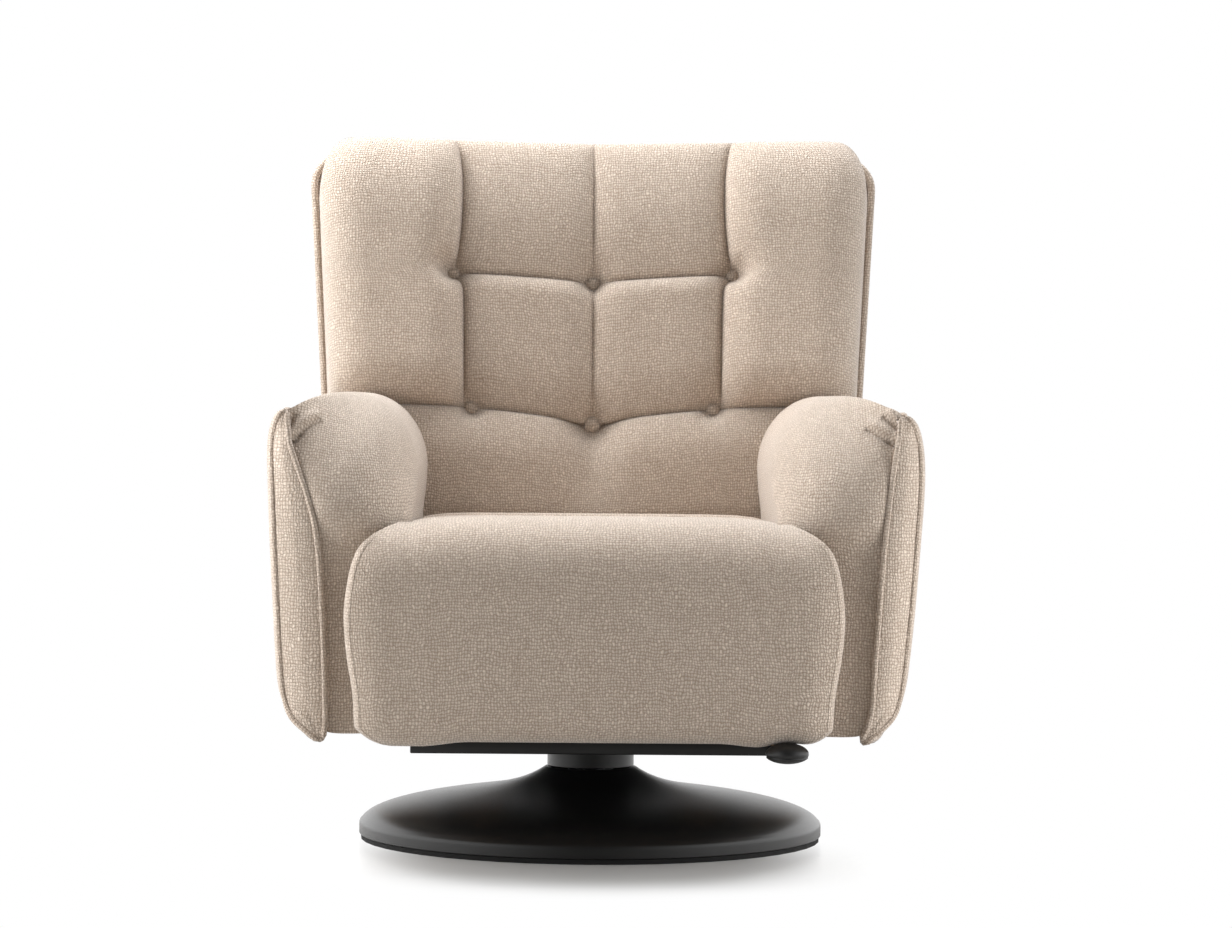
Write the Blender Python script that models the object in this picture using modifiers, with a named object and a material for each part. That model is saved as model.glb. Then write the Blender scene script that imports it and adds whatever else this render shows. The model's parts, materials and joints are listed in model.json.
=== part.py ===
"""Swivel recliner with a round trumpet base, a tufted back and a front that swings up as a footrest.

Metres, +Z up, the sitter faces -Y, the swivel axis is the Z axis and the floor is z = 0.
"""
import math

import bmesh
import bpy
from mathutils import Vector

# Clearances
TOUCH = 0.0003
RUNNING = 0.0005
GROOVE_CLEAR = 0.0013

# Base
BASE_R = 0.3015
RIM_H = 0.015
DOME_RISE = 0.0525
DOME_POWER = 0.42
FLARE_RISE = 0.0265
FLARE_FADE = 0.040
NECK_R = 0.060
NECK_BORE_R = 0.052
COVER_WALL = 0.004
FLOOR_PAD_H = 0.006
FLOOR_PAD_INSET = 0.002
BALLAST_T = 0.012
BALLAST_INSET = 0.030
POST_R = 0.030
POST_FLANGE_R = 0.070
POST_FLANGE_T = 0.008
SPIGOT_R = 0.010
SPIGOT_SPARE = 0.002
BEARING_H = 0.010
BEARING_INSET = 0.002
NUT_R = 0.0175
NUT_H = 0.011

# Column and welded subframe
COLUMN_R = 0.0565
COLUMN_WALL = 0.0105
COLUMN_GAP = 0.0015
SUBFRAME_Z = 0.128
SUBFRAME_L = 0.456
SUBFRAME_FRONT_Y = -0.215
SUBFRAME_REAR_Y = 0.230
BAR_W = 0.030
BAR_H = 0.019
RAIL_W = 0.020
SWIVEL_PLATE_W = 0.240
SWIVEL_PLATE_T = 0.005
OUTRIGGER_T = 0.006
OUTRIGGER_W = 0.040
OUTRIGGER_FRONT_Y = -0.110
OUTRIGGER_REAR_Y = 0.050

# Wooden seat box and its springs
PLY = 0.018
BOX_HALF = 0.2237
BOX_FRONT_Y = -0.352
BOX_REAR_Y = 0.195
BOX_TOP_Z = 0.345
FRONT_RAIL_H = 0.045
REAR_RAIL_H = 0.115
SPRING_WIRE_R = 0.002
SPRING_SWING = 0.022
SPRING_PITCH = 0.076
SPRING_SPACING = 0.130
SPRING_END = 0.008
SPRING_POINTS = 29

# Seat cushion with its front roll
SEAT_FRONT_Y = -0.438
SEAT_REAR_Y = 0.113
SEAT_TOP_Z = 0.432
SEAT_CREST_Y = -0.220
SEAT_FALL = 0.018
SEAT_SIDE_GAP = 0.0022
SEAT_EDGE_DROP = 0.018
SEAT_REAR_ROUND = 0.030
ROLL_R = 0.100
ROLL_DROP = 0.002
HINGE_COVER = 0.008
KNUCKLE_R = 0.0055

# Footrest slab that hangs in front of the seat box
PAD_HALF = 0.2985
PAD_Z = 0.166
PAD_T = 0.060
PAD_CROWN = 0.004
PAD_CORNER_R = 0.110
PAD_SIDE_ROUND = 0.030
PAD_SIDE_PULL = 0.016
PAD_FOOT_ROUND = 0.022
EAR_ROUND_Y = 0.033
EAR_ROUND_Z = 0.045
FOOT_BOARD_T = 0.0145
FOOT_BOARD_HALF = 0.220
FOOT_BOARD_Z = 0.180
FOOT_BOARD_TOP_Z = 0.336
FOOT_HINGE_X = 0.130
FOOT_HINGE_W = 0.080
FOOT_KNUCKLE_W = 0.038
HINGE_T = 0.0025
HINGE_PIN_R = 0.0025
FIXED_LEAF_L = 0.036
MOVING_LEAF_L = 0.050
KNUCKLE_ROOM = 0.0017

# Arms
ARM_FOOT_Z = 0.162
ARM_TOP_Z = 0.580
ARM_CREST_X = 0.286
ARM_ROLL_Z = 0.470
ARM_WELT_X = 0.381
ARM_WELT_Z = 0.556
ARM_WAIST_Z = 0.400
ARM_PANEL_X = 0.335
ARM_OUT_X = 0.399
ARM_TAPER = 0.044
ARM_FRONT_Y = -0.371
ARM_STRIP_Y = -0.386
ARM_FRONT_LEAN = math.radians(20)
ARM_REAR_Y = 0.106
ARM_PANEL_INSET = 0.004
ARM_PANEL_RISE = 0.040
ARM_PANEL_RUN = 0.190
ARM_SEAM = 0.0025
STRIP_DEPTH = 0.041

# Back
BACK_PIVOT_Y = 0.245
BACK_PIVOT_Z = 0.265
BACK_LEAN = math.radians(14)
BACK_FOOT = 0.075
BACK_TOP = 0.652
BACK_FOOT_HALF = 0.352
BACK_TOP_HALF = 0.384
BACK_CORNER_W = 0.030
BACK_CORNER_H = 0.075
BACK_ARCH = 0.008
BACK_ARCH_POWER = 16
BACK_EDGE_T = 0.110
BACK_CROWN = 0.042
WING_CROWN = 0.054
WING_ROUND = 0.065
WING_TOP_ROUND = 0.125
BACK_WRAP = 0.060
SEAM_KEEP = 0.45
BACK_SIDE_SWELL = 0.006
BACK_FRAME_T = 0.022
BACK_PANEL_T = 0.0325
BACK_PANEL_INSET = 0.012
BACK_PANEL_ROUND = 0.022
STILE_W = 0.050
STILE_FOOT = 0.090
STILE_TOP = 0.606
RAIL_H = 0.060
WEBBING_T = 0.003
WEBBING_W = 0.080
WEBBING_UP = 0.340
ROW_LOW = 0.281
ROW_HIGH = 0.468
ROW_LOW_SAG = 0.019
ROW_HIGH_SAG = 0.0095
TUFT_LOW_X = 0.164
TUFT_HIGH_X = 0.192
TUFT_POWER = 2.4
TUFT_PINCH = 0.012
TUFT_PINCH_R = 0.032
BUTTON_R = 0.0118
BUTTON_H = 0.012
BUTTON_ROOM = 0.0015

# Apron that hides the mechanism behind the arms
APRON_REAR_Y = 0.318
APRON_TOP_Z = 0.282

# Back hinge, crank and gas spring
HINGE_PLATE_T = 0.005
HINGE_PLATE_R = 0.018
HINGE_PLATE_REACH = 0.105
HINGE_PLATE_FALL = 0.015
PIVOT_PIN_R = 0.005
PIVOT_HEAD_R = 0.009
PIVOT_HEAD_T = 0.003
HINGE_ARM_R = 0.0105
HINGE_ARM_L = 0.200
CRANK_R = 0.070
CRANK_HALF_TURN = math.radians(19)
CRANK_T = 0.008
CRANK_EYE_R = 0.011
CRANK_PIN_R = 0.004
CRANK_PIN_L = 0.026
CYLINDER_R = 0.014
CYLINDER_BORE_R = 0.0056
CYLINDER_REAR_Y = 0.110
CYLINDER_BORE_L = 0.190
ROD_R = 0.005
ROD_IN_BORE = 0.130
FORK_W = 0.019
FORK_H = 0.030
FORK_BACK = 0.014
FORK_THROAT = 0.022
FORK_ROOT = 0.012
FORK_SLOT_R = 0.0048
FORK_SLOT_HALF = 0.0034
CRADLE_W = 0.036
CRADLE_L = 0.024
HEAD_W = 0.040
HEAD_L = 0.0335
HEAD_ABOVE = 0.016

# Release lever
SHAFT_R = 0.005
SHAFT_Y = -0.168
SHAFT_Z = 0.139
SHAFT_IN_HEAD = 0.0075
LEVER_T = 0.008
LEVER_HUB_R = 0.011
LEVER_TIP_Y = -0.410
LEVER_TIP_Z = 0.1495
LEVER_TIP_R = 0.006
PADDLE_Y = -0.418
PADDLE_Z = 0.1495
PADDLE_HALF = (0.026, 0.029, 0.0130)

# Heights and places that follow from the sizes above
BALLAST_Z = FLOOR_PAD_H + TOUCH
POST_Z = BALLAST_Z + BALLAST_T + TOUCH
BEARING_TOP_Z = SUBFRAME_Z - TOUCH
POST_SHOULDER_Z = BEARING_TOP_Z - BEARING_H - TOUCH
PLATE_TOP_Z = SUBFRAME_Z + SWIVEL_PLATE_T
NUT_Z = PLATE_TOP_Z + TOUCH
BAR_TOP_Z = SUBFRAME_Z + BAR_H
OUTRIGGER_Z = BAR_TOP_Z + TOUCH
BOX_Z = OUTRIGGER_Z + OUTRIGGER_T + TOUCH
FOAM_Z = BOX_TOP_Z + 2 * (SPRING_WIRE_R + TOUCH)
SEAT_HALF = BOX_HALF - SEAT_SIDE_GAP
ROLL_Y = SEAT_FRONT_Y + ROLL_R
ROLL_Z = SEAT_TOP_Z - ROLL_DROP - ROLL_R
FOOT_PIVOT_Y = ROLL_Y - (ROLL_R - HINGE_COVER) * math.sqrt(0.5)
FOOT_PIVOT_Z = ROLL_Z + (ROLL_R - HINGE_COVER) * math.sqrt(0.5)
GROOVE_R = HINGE_COVER * math.sqrt(2) + GROOVE_CLEAR / 2
PAD_BACK_Y = SEAT_FRONT_Y + PAD_T
BOARD_FRONT_Y = PAD_BACK_Y + HINGE_T + 2 * TOUCH + RUNNING
BOLSTER_IN_X = BOX_HALF + TOUCH
BOLSTER_OUT_X = ARM_PANEL_X - TOUCH
PANEL_OUT_X = ARM_PANEL_X + PLY
BACK_FRAME_HALF_T = BACK_FRAME_T / 2
HINGE_PLATE_X = BOX_HALF + TOUCH
HINGE_ARM_X = HINGE_PLATE_X + HINGE_PLATE_T + RUNNING
GAS_Z = BACK_PIVOT_Z - CRANK_R * (1 + math.cos(CRANK_HALF_TURN)) / 2
CYLINDER_FRONT_Y = SHAFT_Y + HEAD_L / 2 + TOUCH
LEVER_X = SUBFRAME_L / 2 + RUNNING
FOOT_PIVOT = Vector((0, FOOT_PIVOT_Y, FOOT_PIVOT_Z))
BACK_PIVOT = Vector((0, BACK_PIVOT_Y, BACK_PIVOT_Z))

ROUND_STEPS = 48
SMALL_STEPS = 24
PIN_STEPS = 16
SIDES = (("left", -1), ("right", 1))

for old in list(bpy.data.objects):
    bpy.data.objects.remove(old, do_unlink=True)


def collection(name):
    made = bpy.data.collections.new(name)
    bpy.context.scene.collection.children.link(made)
    return made


PARTS = collection("swivel_recliner")
CUTTERS = collection("cutters")


def material(name, colour, roughness, metallic):
    made = bpy.data.materials.new(name)
    made.use_nodes = True
    shader = made.node_tree.nodes["Principled BSDF"]
    shader.inputs["Base Color"].default_value = (*colour, 1)
    shader.inputs["Roughness"].default_value = roughness
    shader.inputs["Metallic"].default_value = metallic
    return made


FABRIC = material("cream_woven_cover", (0.62, 0.53, 0.45), 0.9, 0.0)
POWDER = material("black_powder_coat", (0.012, 0.012, 0.012), 0.4, 0.3)
STEEL = material("zinc_plated_steel", (0.55, 0.55, 0.56), 0.35, 0.9)
BIRCH = material("birch_plywood", (0.58, 0.42, 0.26), 0.65, 0.0)
RUBBER = material("black_rubber", (0.02, 0.02, 0.02), 0.85, 0.0)
PLASTIC = material("black_moulded_plastic", (0.015, 0.015, 0.015), 0.5, 0.0)
WEBBING = material("woven_elastic", (0.10, 0.10, 0.10), 0.9, 0.0)


def pivot(name, place, lean=0.0):
    """Empty on a joint axis; what hangs on it turns with it."""
    made = bpy.data.objects.new(name, None)
    made.location = place
    made.rotation_euler.x = -lean
    PARTS.objects.link(made)
    return made


SWIVEL = pivot("swivel_axis", Vector((0, 0, 0)))
BACK = pivot("back_axis", BACK_PIVOT, BACK_LEAN)
FOOTREST = pivot("footrest_axis", FOOT_PIVOT)
LEVER = pivot("lever_axis", Vector((0, SHAFT_Y, SHAFT_Z)))


def hang(obj, parent):
    """Parents obj; a mesh drawn in chair coordinates keeps its place, one of the back is drawn on its axis."""
    if parent is None:
        return obj
    obj.parent = parent
    if parent is not BACK:
        obj.location = -parent.location
    return obj


def mesh_object(name, mesh, look=None, parent=None, smooth=False):
    """A piece when it has a look, else a cutter."""
    obj = bpy.data.objects.new(name, mesh)
    if look is None:
        CUTTERS.objects.link(obj)
        obj.hide_render = True
        obj.display_type = "WIRE"
    else:
        PARTS.objects.link(obj)
        mesh.materials.clear()
        mesh.materials.append(look)
    mesh.polygons.foreach_set("use_smooth", [smooth] * len(mesh.polygons))
    return hang(obj, parent)


def mesh_from(bm, name):
    bmesh.ops.recalc_face_normals(bm, faces=bm.faces)
    if bm.calc_volume(signed=True) < 0:
        bmesh.ops.reverse_faces(bm, faces=bm.faces)
    mesh = bpy.data.meshes.new(name)
    bm.to_mesh(mesh)
    bm.free()
    return mesh


def box(name, low, high, look=None, parent=None):
    bm = bmesh.new()
    bmesh.ops.create_cube(bm, size=1)
    low, high = Vector(low), Vector(high)
    bmesh.ops.scale(bm, vec=high - low, verts=bm.verts)
    bmesh.ops.translate(bm, vec=(low + high) / 2, verts=bm.verts)
    return mesh_object(name, mesh_from(bm, name), look, parent)


def bar(name, start, end, radius, look=None, parent=None, steps=SMALL_STEPS):
    """Round bar between two points."""
    start, end = Vector(start), Vector(end)
    bm = bmesh.new()
    bmesh.ops.create_cone(bm, cap_ends=True, segments=steps, radius1=radius, radius2=radius,
                          depth=(end - start).length)
    turn = Vector((0, 0, 1)).rotation_difference(end - start)
    bmesh.ops.rotate(bm, cent=(0, 0, 0), matrix=turn.to_matrix(), verts=bm.verts)
    bmesh.ops.translate(bm, vec=(start + end) / 2, verts=bm.verts)
    return mesh_object(name, mesh_from(bm, name), look, parent, smooth=True)


def turned(name, profile, look, parent=None, steps=ROUND_STEPS, along_y=None):
    """Profile of (radius, height) from top to bottom, turned about Z, or about Y at the point along_y."""
    bm = bmesh.new()
    verts = [bm.verts.new((radius, 0, height)) for radius, height in profile]
    for first, second in zip(verts, verts[1:]):
        if first.co.x > 0 or second.co.x > 0:
            bm.edges.new((first, second))
    if profile[0][0] > 0:
        bm.edges.new((verts[-1], verts[0]))
    mesh = bpy.data.meshes.new(name)
    bm.to_mesh(mesh)
    bm.free()
    obj = mesh_object(name, mesh, look, parent, smooth=True)
    screw = obj.modifiers.new("turned", "SCREW")
    screw.axis = "Z"
    screw.steps = steps
    screw.render_steps = steps
    screw.use_merge_vertices = True
    screw.merge_threshold = 0.0001
    screw.use_smooth_shade = True
    if along_y is not None:
        obj.location += Vector(along_y)
        obj.rotation_euler.x = -math.pi / 2
    return obj


def plate(name, outline, thickness_from, thickness_to, look=None, holes=(), parent=None, flat=False):
    """Flat outline with round holes. Flat: drawn in XY and thick in Z; else drawn in YZ and thick in X."""
    curve = bpy.data.curves.new(name, "CURVE")
    curve.dimensions = "2D"
    curve.fill_mode = "BOTH"
    curve.extrude = (thickness_to - thickness_from) / 2
    rings = [outline] + [circle(centre, radius) for centre, radius in holes]
    for ring in rings:
        spline = curve.splines.new("POLY")
        spline.points.add(len(ring) - 1)
        for point, (across, up) in zip(spline.points, ring):
            point.co = (across, up, 0, 1)
        spline.use_cyclic_u = True
    drawn = bpy.data.objects.new(name + "_outline", curve)
    PARTS.objects.link(drawn)
    graph = bpy.context.evaluated_depsgraph_get()
    mesh = bpy.data.meshes.new_from_object(drawn.evaluated_get(graph))
    bpy.data.objects.remove(drawn, do_unlink=True)
    bm = bmesh.new()
    bm.from_mesh(mesh)
    bpy.data.meshes.remove(mesh)
    bmesh.ops.remove_doubles(bm, verts=bm.verts, dist=1e-6)
    middle = (thickness_from + thickness_to) / 2
    for vert in bm.verts:
        across, up, depth = vert.co
        vert.co = (across, up, middle + depth) if flat else (middle + depth, across, up)
    return mesh_object(name, mesh_from(bm, name), look, parent)


def circle(centre, radius, steps=PIN_STEPS):
    turns = [2 * math.pi * k / steps for k in range(steps)]
    return [(centre[0] + radius * math.cos(t), centre[1] + radius * math.sin(t)) for t in turns]


def hull(*rounds):
    """Outline drawn tight round circles given as (across, up, radius)."""
    points = sorted({point for y, z, r in rounds for point in circle((y, z), r)})

    def chain(ordered):
        kept = []
        for point in ordered:
            while len(kept) > 1:
                (ay, az), (by, bz) = kept[-2], kept[-1]
                if (by - ay) * (point[1] - az) - (bz - az) * (point[0] - ay) > 1e-12:
                    break
                kept.pop()
            kept.append(point)
        return kept[:-1]

    return chain(points) + chain(points[::-1])


def strip(points, thickness):
    """Outline of a bent flat strip that runs through the points."""
    path = [Vector(point) for point in points]
    left, right = [], []
    for k, point in enumerate(path):
        before = (point - path[k - 1]).normalized() if k else (path[1] - point).normalized()
        after = (path[k + 1] - point).normalized() if k < len(path) - 1 else before
        middle = (before + after).normalized()
        side = Vector((-middle.y, middle.x)) * thickness / 2 / max(0.5, middle.dot(after))
        left.append(tuple(point + side))
        right.append(tuple(point - side))
    return left + right[::-1]


def loft(name, sections, look, parent=None, fold=()):
    """Closed skin over loops that have the same number of points, with a cap at each end.

    The last cap folds along the line between the two points that fold names.
    """
    bm = bmesh.new()
    loops = []
    for section in sections:
        ring = [bm.verts.new(point) for point in section]
        loops.append([bm.edges.new((a, b)) for a, b in zip(ring, ring[1:] + ring[:1])])
    for first, second in zip(loops, loops[1:]):
        bmesh.ops.bridge_loops(bm, edges=first + second)
    for end in (loops[0], loops[-1]):
        bmesh.ops.contextual_create(bm, geom=end)
    if fold:
        bmesh.ops.connect_verts(bm, verts=[ring[k] for k in fold])
    return mesh_object(name, mesh_from(bm, name), look, parent, smooth=True)


def boolean(obj, tool, operation):
    made = obj.modifiers.new(operation.lower(), "BOOLEAN")
    made.operation = operation
    made.solver = "EXACT"
    made.object = tool


def cut(obj, tool):
    boolean(obj, tool, "DIFFERENCE")


def join(obj, tool):
    boolean(obj, tool, "UNION")


def blend(first, second, share):
    return first + (second - first) * share


def cover_height(radius):
    dome = DOME_RISE * max(0.0, 1 - (radius / BASE_R) ** 2) ** DOME_POWER
    return RIM_H + dome + FLARE_RISE * math.exp(-(radius - NECK_R) / FLARE_FADE)


NECK_Z = cover_height(NECK_R)


def make_base():
    steps = 12
    span = BASE_R - NECK_R
    outer = []
    for k in range(steps + 1):
        radius = NECK_R + span * (1 - math.cos(math.pi * k / steps)) / 2
        outer.append((radius, cover_height(radius)))
    inner = []
    for (r0, z0), (r1, z1), (r2, z2) in zip(outer, outer[1:], outer[2:]):
        run, rise = r2 - r0, z2 - z0
        length = math.hypot(run, rise)
        inner.append((r1 + COVER_WALL * rise / length, z1 - COVER_WALL * run / length))
    inner = [point for point in inner[::2] if point[0] > NECK_R]
    profile = outer + [(BASE_R, BALLAST_Z), (BASE_R - COVER_WALL, BALLAST_Z)]
    profile += inner[::-1] + [(NECK_BORE_R, inner[0][1]), (NECK_BORE_R, NECK_Z)]
    turned("base_trumpet_cover", profile, POWDER)

    pad_r = BASE_R - FLOOR_PAD_INSET
    turned("base_floor_pad", [(0, FLOOR_PAD_H), (pad_r, FLOOR_PAD_H), (pad_r, 0), (0, 0)], RUBBER)
    ballast_r = BASE_R - BALLAST_INSET
    turned("base_ballast_plate", [(0, BALLAST_Z + BALLAST_T), (ballast_r, BALLAST_Z + BALLAST_T),
                                  (ballast_r, BALLAST_Z), (0, BALLAST_Z)], STEEL)
    top = NUT_Z + NUT_H + SPIGOT_SPARE
    flange_z = POST_Z + POST_FLANGE_T
    turned("swivel_post", [(0, top), (SPIGOT_R, top), (SPIGOT_R, POST_SHOULDER_Z), (POST_R, POST_SHOULDER_Z),
                           (POST_R, flange_z), (POST_FLANGE_R, flange_z), (POST_FLANGE_R, POST_Z), (0, POST_Z)],
           STEEL, steps=SMALL_STEPS)
    race_out, race_in = POST_R - BEARING_INSET, SPIGOT_R + BEARING_INSET
    race_z = BEARING_TOP_Z - BEARING_H
    turned("swivel_bearing_ring", [(race_out, BEARING_TOP_Z), (race_out, race_z), (race_in, race_z),
                                   (race_in, BEARING_TOP_Z)], STEEL, steps=SMALL_STEPS)
    plate("swivel_lock_nut", circle((0, 0), NUT_R, 6), NUT_Z, NUT_Z + NUT_H, STEEL,
          [((0, 0), SPIGOT_R + RUNNING)], flat=True)


def make_subframe():
    sleeve_z = NECK_Z + COLUMN_GAP
    sleeve_in = COLUMN_R - COLUMN_WALL
    turned("column_sleeve", [(COLUMN_R, BEARING_TOP_Z), (COLUMN_R, sleeve_z), (sleeve_in, sleeve_z),
                             (sleeve_in, BEARING_TOP_Z)], POWDER, SWIVEL)
    half = SUBFRAME_L / 2
    front_in = SUBFRAME_FRONT_Y + BAR_W
    rear_in = SUBFRAME_REAR_Y - BAR_W
    box("front_crossbar", (-half, SUBFRAME_FRONT_Y, SUBFRAME_Z), (half, front_in, BAR_TOP_Z), POWDER, SWIVEL)
    box("rear_crossbar", (-half, rear_in, SUBFRAME_Z), (half, SUBFRAME_REAR_Y, BAR_TOP_Z), POWDER, SWIVEL)
    for side, sign in SIDES:
        near, far = sorted((sign * (half - RAIL_W), sign * half))
        rail = box("subframe_rail_" + side, (near, front_in + TOUCH, SUBFRAME_Z),
                   (far, rear_in - TOUCH, BAR_TOP_Z), POWDER, SWIVEL)
        if side == "right":
            cut(rail, bar("shaft_hole", (near - RAIL_W, SHAFT_Y, SHAFT_Z), (far + RAIL_W, SHAFT_Y, SHAFT_Z),
                          SHAFT_R + RUNNING))
    across = SWIVEL_PLATE_W / 2
    y0, y1 = front_in + TOUCH, rear_in - TOUCH
    plate("swivel_plate", [(-across, y0), (across, y0), (across, y1), (-across, y1)], SUBFRAME_Z, PLATE_TOP_Z,
          POWDER, [((0, 0), SPIGOT_R + RUNNING)], SWIVEL, flat=True)
    for name, middle in (("outrigger_front", OUTRIGGER_FRONT_Y), ("outrigger_rear", OUTRIGGER_REAR_Y)):
        box(name, (-PANEL_OUT_X, middle - OUTRIGGER_W / 2, OUTRIGGER_Z),
            (PANEL_OUT_X, middle + OUTRIGGER_W / 2, OUTRIGGER_Z + OUTRIGGER_T), POWDER, SWIVEL)


def make_seat_box():
    inside = BOX_HALF - PLY
    for side, sign in SIDES:
        near, far = sorted((sign * inside, sign * BOX_HALF))
        box("seat_side_panel_" + side, (near, BOX_FRONT_Y, BOX_Z), (far, BOX_REAR_Y, BOX_TOP_Z), BIRCH, SWIVEL)
    span = inside - TOUCH
    box("seat_front_rail", (-span, BOX_FRONT_Y, BOX_TOP_Z - FRONT_RAIL_H),
        (span, BOX_FRONT_Y + PLY, BOX_TOP_Z), BIRCH, SWIVEL)
    box("seat_rear_rail", (-span, BOX_REAR_Y - PLY, BOX_TOP_Z - REAR_RAIL_H),
        (span, BOX_REAR_Y, BOX_TOP_Z), BIRCH, SWIVEL)
    start = BOX_FRONT_Y + SPRING_END
    length = BOX_REAR_Y - SPRING_END - start
    for k in range(3):
        sinuous_spring(f"seat_spring_{k + 1}", (k - 1) * SPRING_SPACING, start, length)


def sinuous_spring(name, middle, start, length):
    curve = bpy.data.curves.new(name, "CURVE")
    curve.dimensions = "3D"
    curve.bevel_depth = SPRING_WIRE_R
    curve.bevel_resolution = 1
    curve.use_fill_caps = True
    spline = curve.splines.new("POLY")
    spline.points.add(SPRING_POINTS - 1)
    for k, point in enumerate(spline.points):
        along = length * k / (SPRING_POINTS - 1)
        swing = SPRING_SWING * math.sin(2 * math.pi * along / SPRING_PITCH)
        point.co = (middle + swing, start + along, BOX_TOP_Z + TOUCH + SPRING_WIRE_R, 1)
    curve.materials.append(STEEL)
    obj = bpy.data.objects.new(name, curve)
    PARTS.objects.link(obj)
    hang(obj, SWIVEL)


def roll_point(angle):
    """Point on the seat's front roll, from the front face at 0 to the top at a right angle."""
    return (ROLL_Y - ROLL_R * math.cos(angle), ROLL_Z + ROLL_R * math.sin(angle))


def groove_angle():
    """Half of the roll's arc that the hinge groove takes."""
    deep = ROLL_R - HINGE_COVER
    return math.acos((ROLL_R ** 2 + deep ** 2 - GROOVE_R ** 2) / (2 * ROLL_R * deep))


def fixed_leaf_bend():
    return Vector((BOX_FRONT_Y - TOUCH - HINGE_T / 2, BOX_TOP_Z))


def moving_leaf_bend():
    return Vector((PAD_BACK_Y + RUNNING + HINGE_T / 2, FOOT_BOARD_TOP_Z))


def seat_section(x):
    edge = math.pi / 4 + groove_angle()
    hinge = Vector((FOOT_PIVOT_Y, FOOT_PIVOT_Z))
    leaf = (fixed_leaf_bend() - hinge).normalized()
    above = Vector((-leaf.y, leaf.x))
    lip = hinge + GROOVE_R * above
    under = lip + leaf * (lip.y - FOAM_Z) / -leaf.y
    rear_top = SEAT_TOP_Z - SEAT_FALL
    points = [(SEAT_REAR_Y, FOAM_Z), (SEAT_REAR_Y, rear_top - SEAT_REAR_ROUND),
              (SEAT_REAR_Y - 0.3 * SEAT_REAR_ROUND, rear_top - 0.3 * SEAT_REAR_ROUND)]
    for share in (0.0, 0.25, 0.5, 0.75):
        y = blend(SEAT_REAR_Y - SEAT_REAR_ROUND, ROLL_Y, share)
        slope = (y - SEAT_CREST_Y) / (SEAT_REAR_Y - SEAT_CREST_Y)
        points.append((y, SEAT_TOP_Z - SEAT_FALL * slope ** 2))
    for share in (0.0, 0.25, 0.5, 0.75, 1.0):
        points.append(roll_point(blend(math.pi / 2, edge, share)))
    points += [tuple(lip), tuple(under)]
    fall = SEAT_EDGE_DROP * (abs(x) / SEAT_HALF) ** 6
    section = []
    for y, z in points:
        share = max(0.0, (z - FOOT_PIVOT_Z - HINGE_COVER) / (SEAT_TOP_Z - FOOT_PIVOT_Z - HINGE_COVER))
        section.append((x, y, z - fall * share))
    return section


def make_seat_cushion():
    stations = (-1, -0.96, -0.87, -0.72, -0.4, 0, 0.4, 0.72, 0.87, 0.96, 1)
    loft("seat_cushion", [seat_section(SEAT_HALF * share) for share in stations], FABRIC, SWIVEL)


def pad_side_pull(x):
    """How far the footrest's faces draw in near its two ends."""
    over = (abs(x) - PAD_HALF + PAD_SIDE_ROUND) / PAD_SIDE_ROUND
    return PAD_SIDE_PULL * (1 - math.sqrt(max(0.0, 1 - over ** 2))) if over > 0 else 0.0


def pad_section(x, ear):
    pull = pad_side_pull(x)
    front = SEAT_FRONT_Y + pull
    back = PAD_BACK_Y - pull / 2
    foot = PAD_Z + pull
    swell = PAD_CROWN * (1 - (x / PAD_HALF) ** 2)
    corner = max(0.0, abs(x) - PAD_HALF + PAD_CORNER_R)
    top = SEAT_TOP_Z - ROLL_DROP - PAD_CORNER_R + math.sqrt(PAD_CORNER_R ** 2 - corner ** 2)
    shoulder = top - EAR_ROUND_Z if ear else ROLL_Z
    points = [(back, foot + 0.2 * PAD_FOOT_ROUND), ((front + back) / 2, foot),
              (front + 0.6 * PAD_FOOT_ROUND, foot + 0.15 * PAD_FOOT_ROUND),
              (front + 0.1 * PAD_FOOT_ROUND, foot + PAD_FOOT_ROUND)]
    for share in (0.25, 0.5, 0.75):
        points.append((front - swell * math.sin(math.pi * share), blend(foot, shoulder, share)))
    if ear:
        for angle in (0, math.pi / 6, math.pi / 3, math.pi / 2):
            points.append((front + EAR_ROUND_Y * (1 - math.cos(angle)), shoulder + EAR_ROUND_Z * math.sin(angle)))
        rear = back - front - EAR_ROUND_Y
        points += [(back - 0.4 * rear, top - 0.05 * EAR_ROUND_Z), (back, top - 0.3 * EAR_ROUND_Z),
                   (back, blend(foot, top, 0.7))]
    else:
        edge = math.pi / 4 - groove_angle()
        for share in (0.0, 0.35, 0.7, 1.0):
            points.append(roll_point(edge * share))
        hinge = Vector((FOOT_PIVOT_Y, FOOT_PIVOT_Z))
        leaf = (moving_leaf_bend() - hinge).normalized()
        ahead = Vector((leaf.y, -leaf.x)) * (HINGE_T / 2 + RUNNING)
        lip = hinge + leaf * math.sqrt(GROOVE_R ** 2 - ahead.length_squared) + ahead
        start = Vector(points[-1]) - hinge
        middle = (start.normalized() + (lip - hinge).normalized()).normalized() * GROOVE_R * 1.02
        points += [tuple(hinge + middle), tuple(lip), (back, lip.y + leaf.y * (back - lip.x) / leaf.x)]
    return [(x, y, z) for y, z in points]


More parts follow.
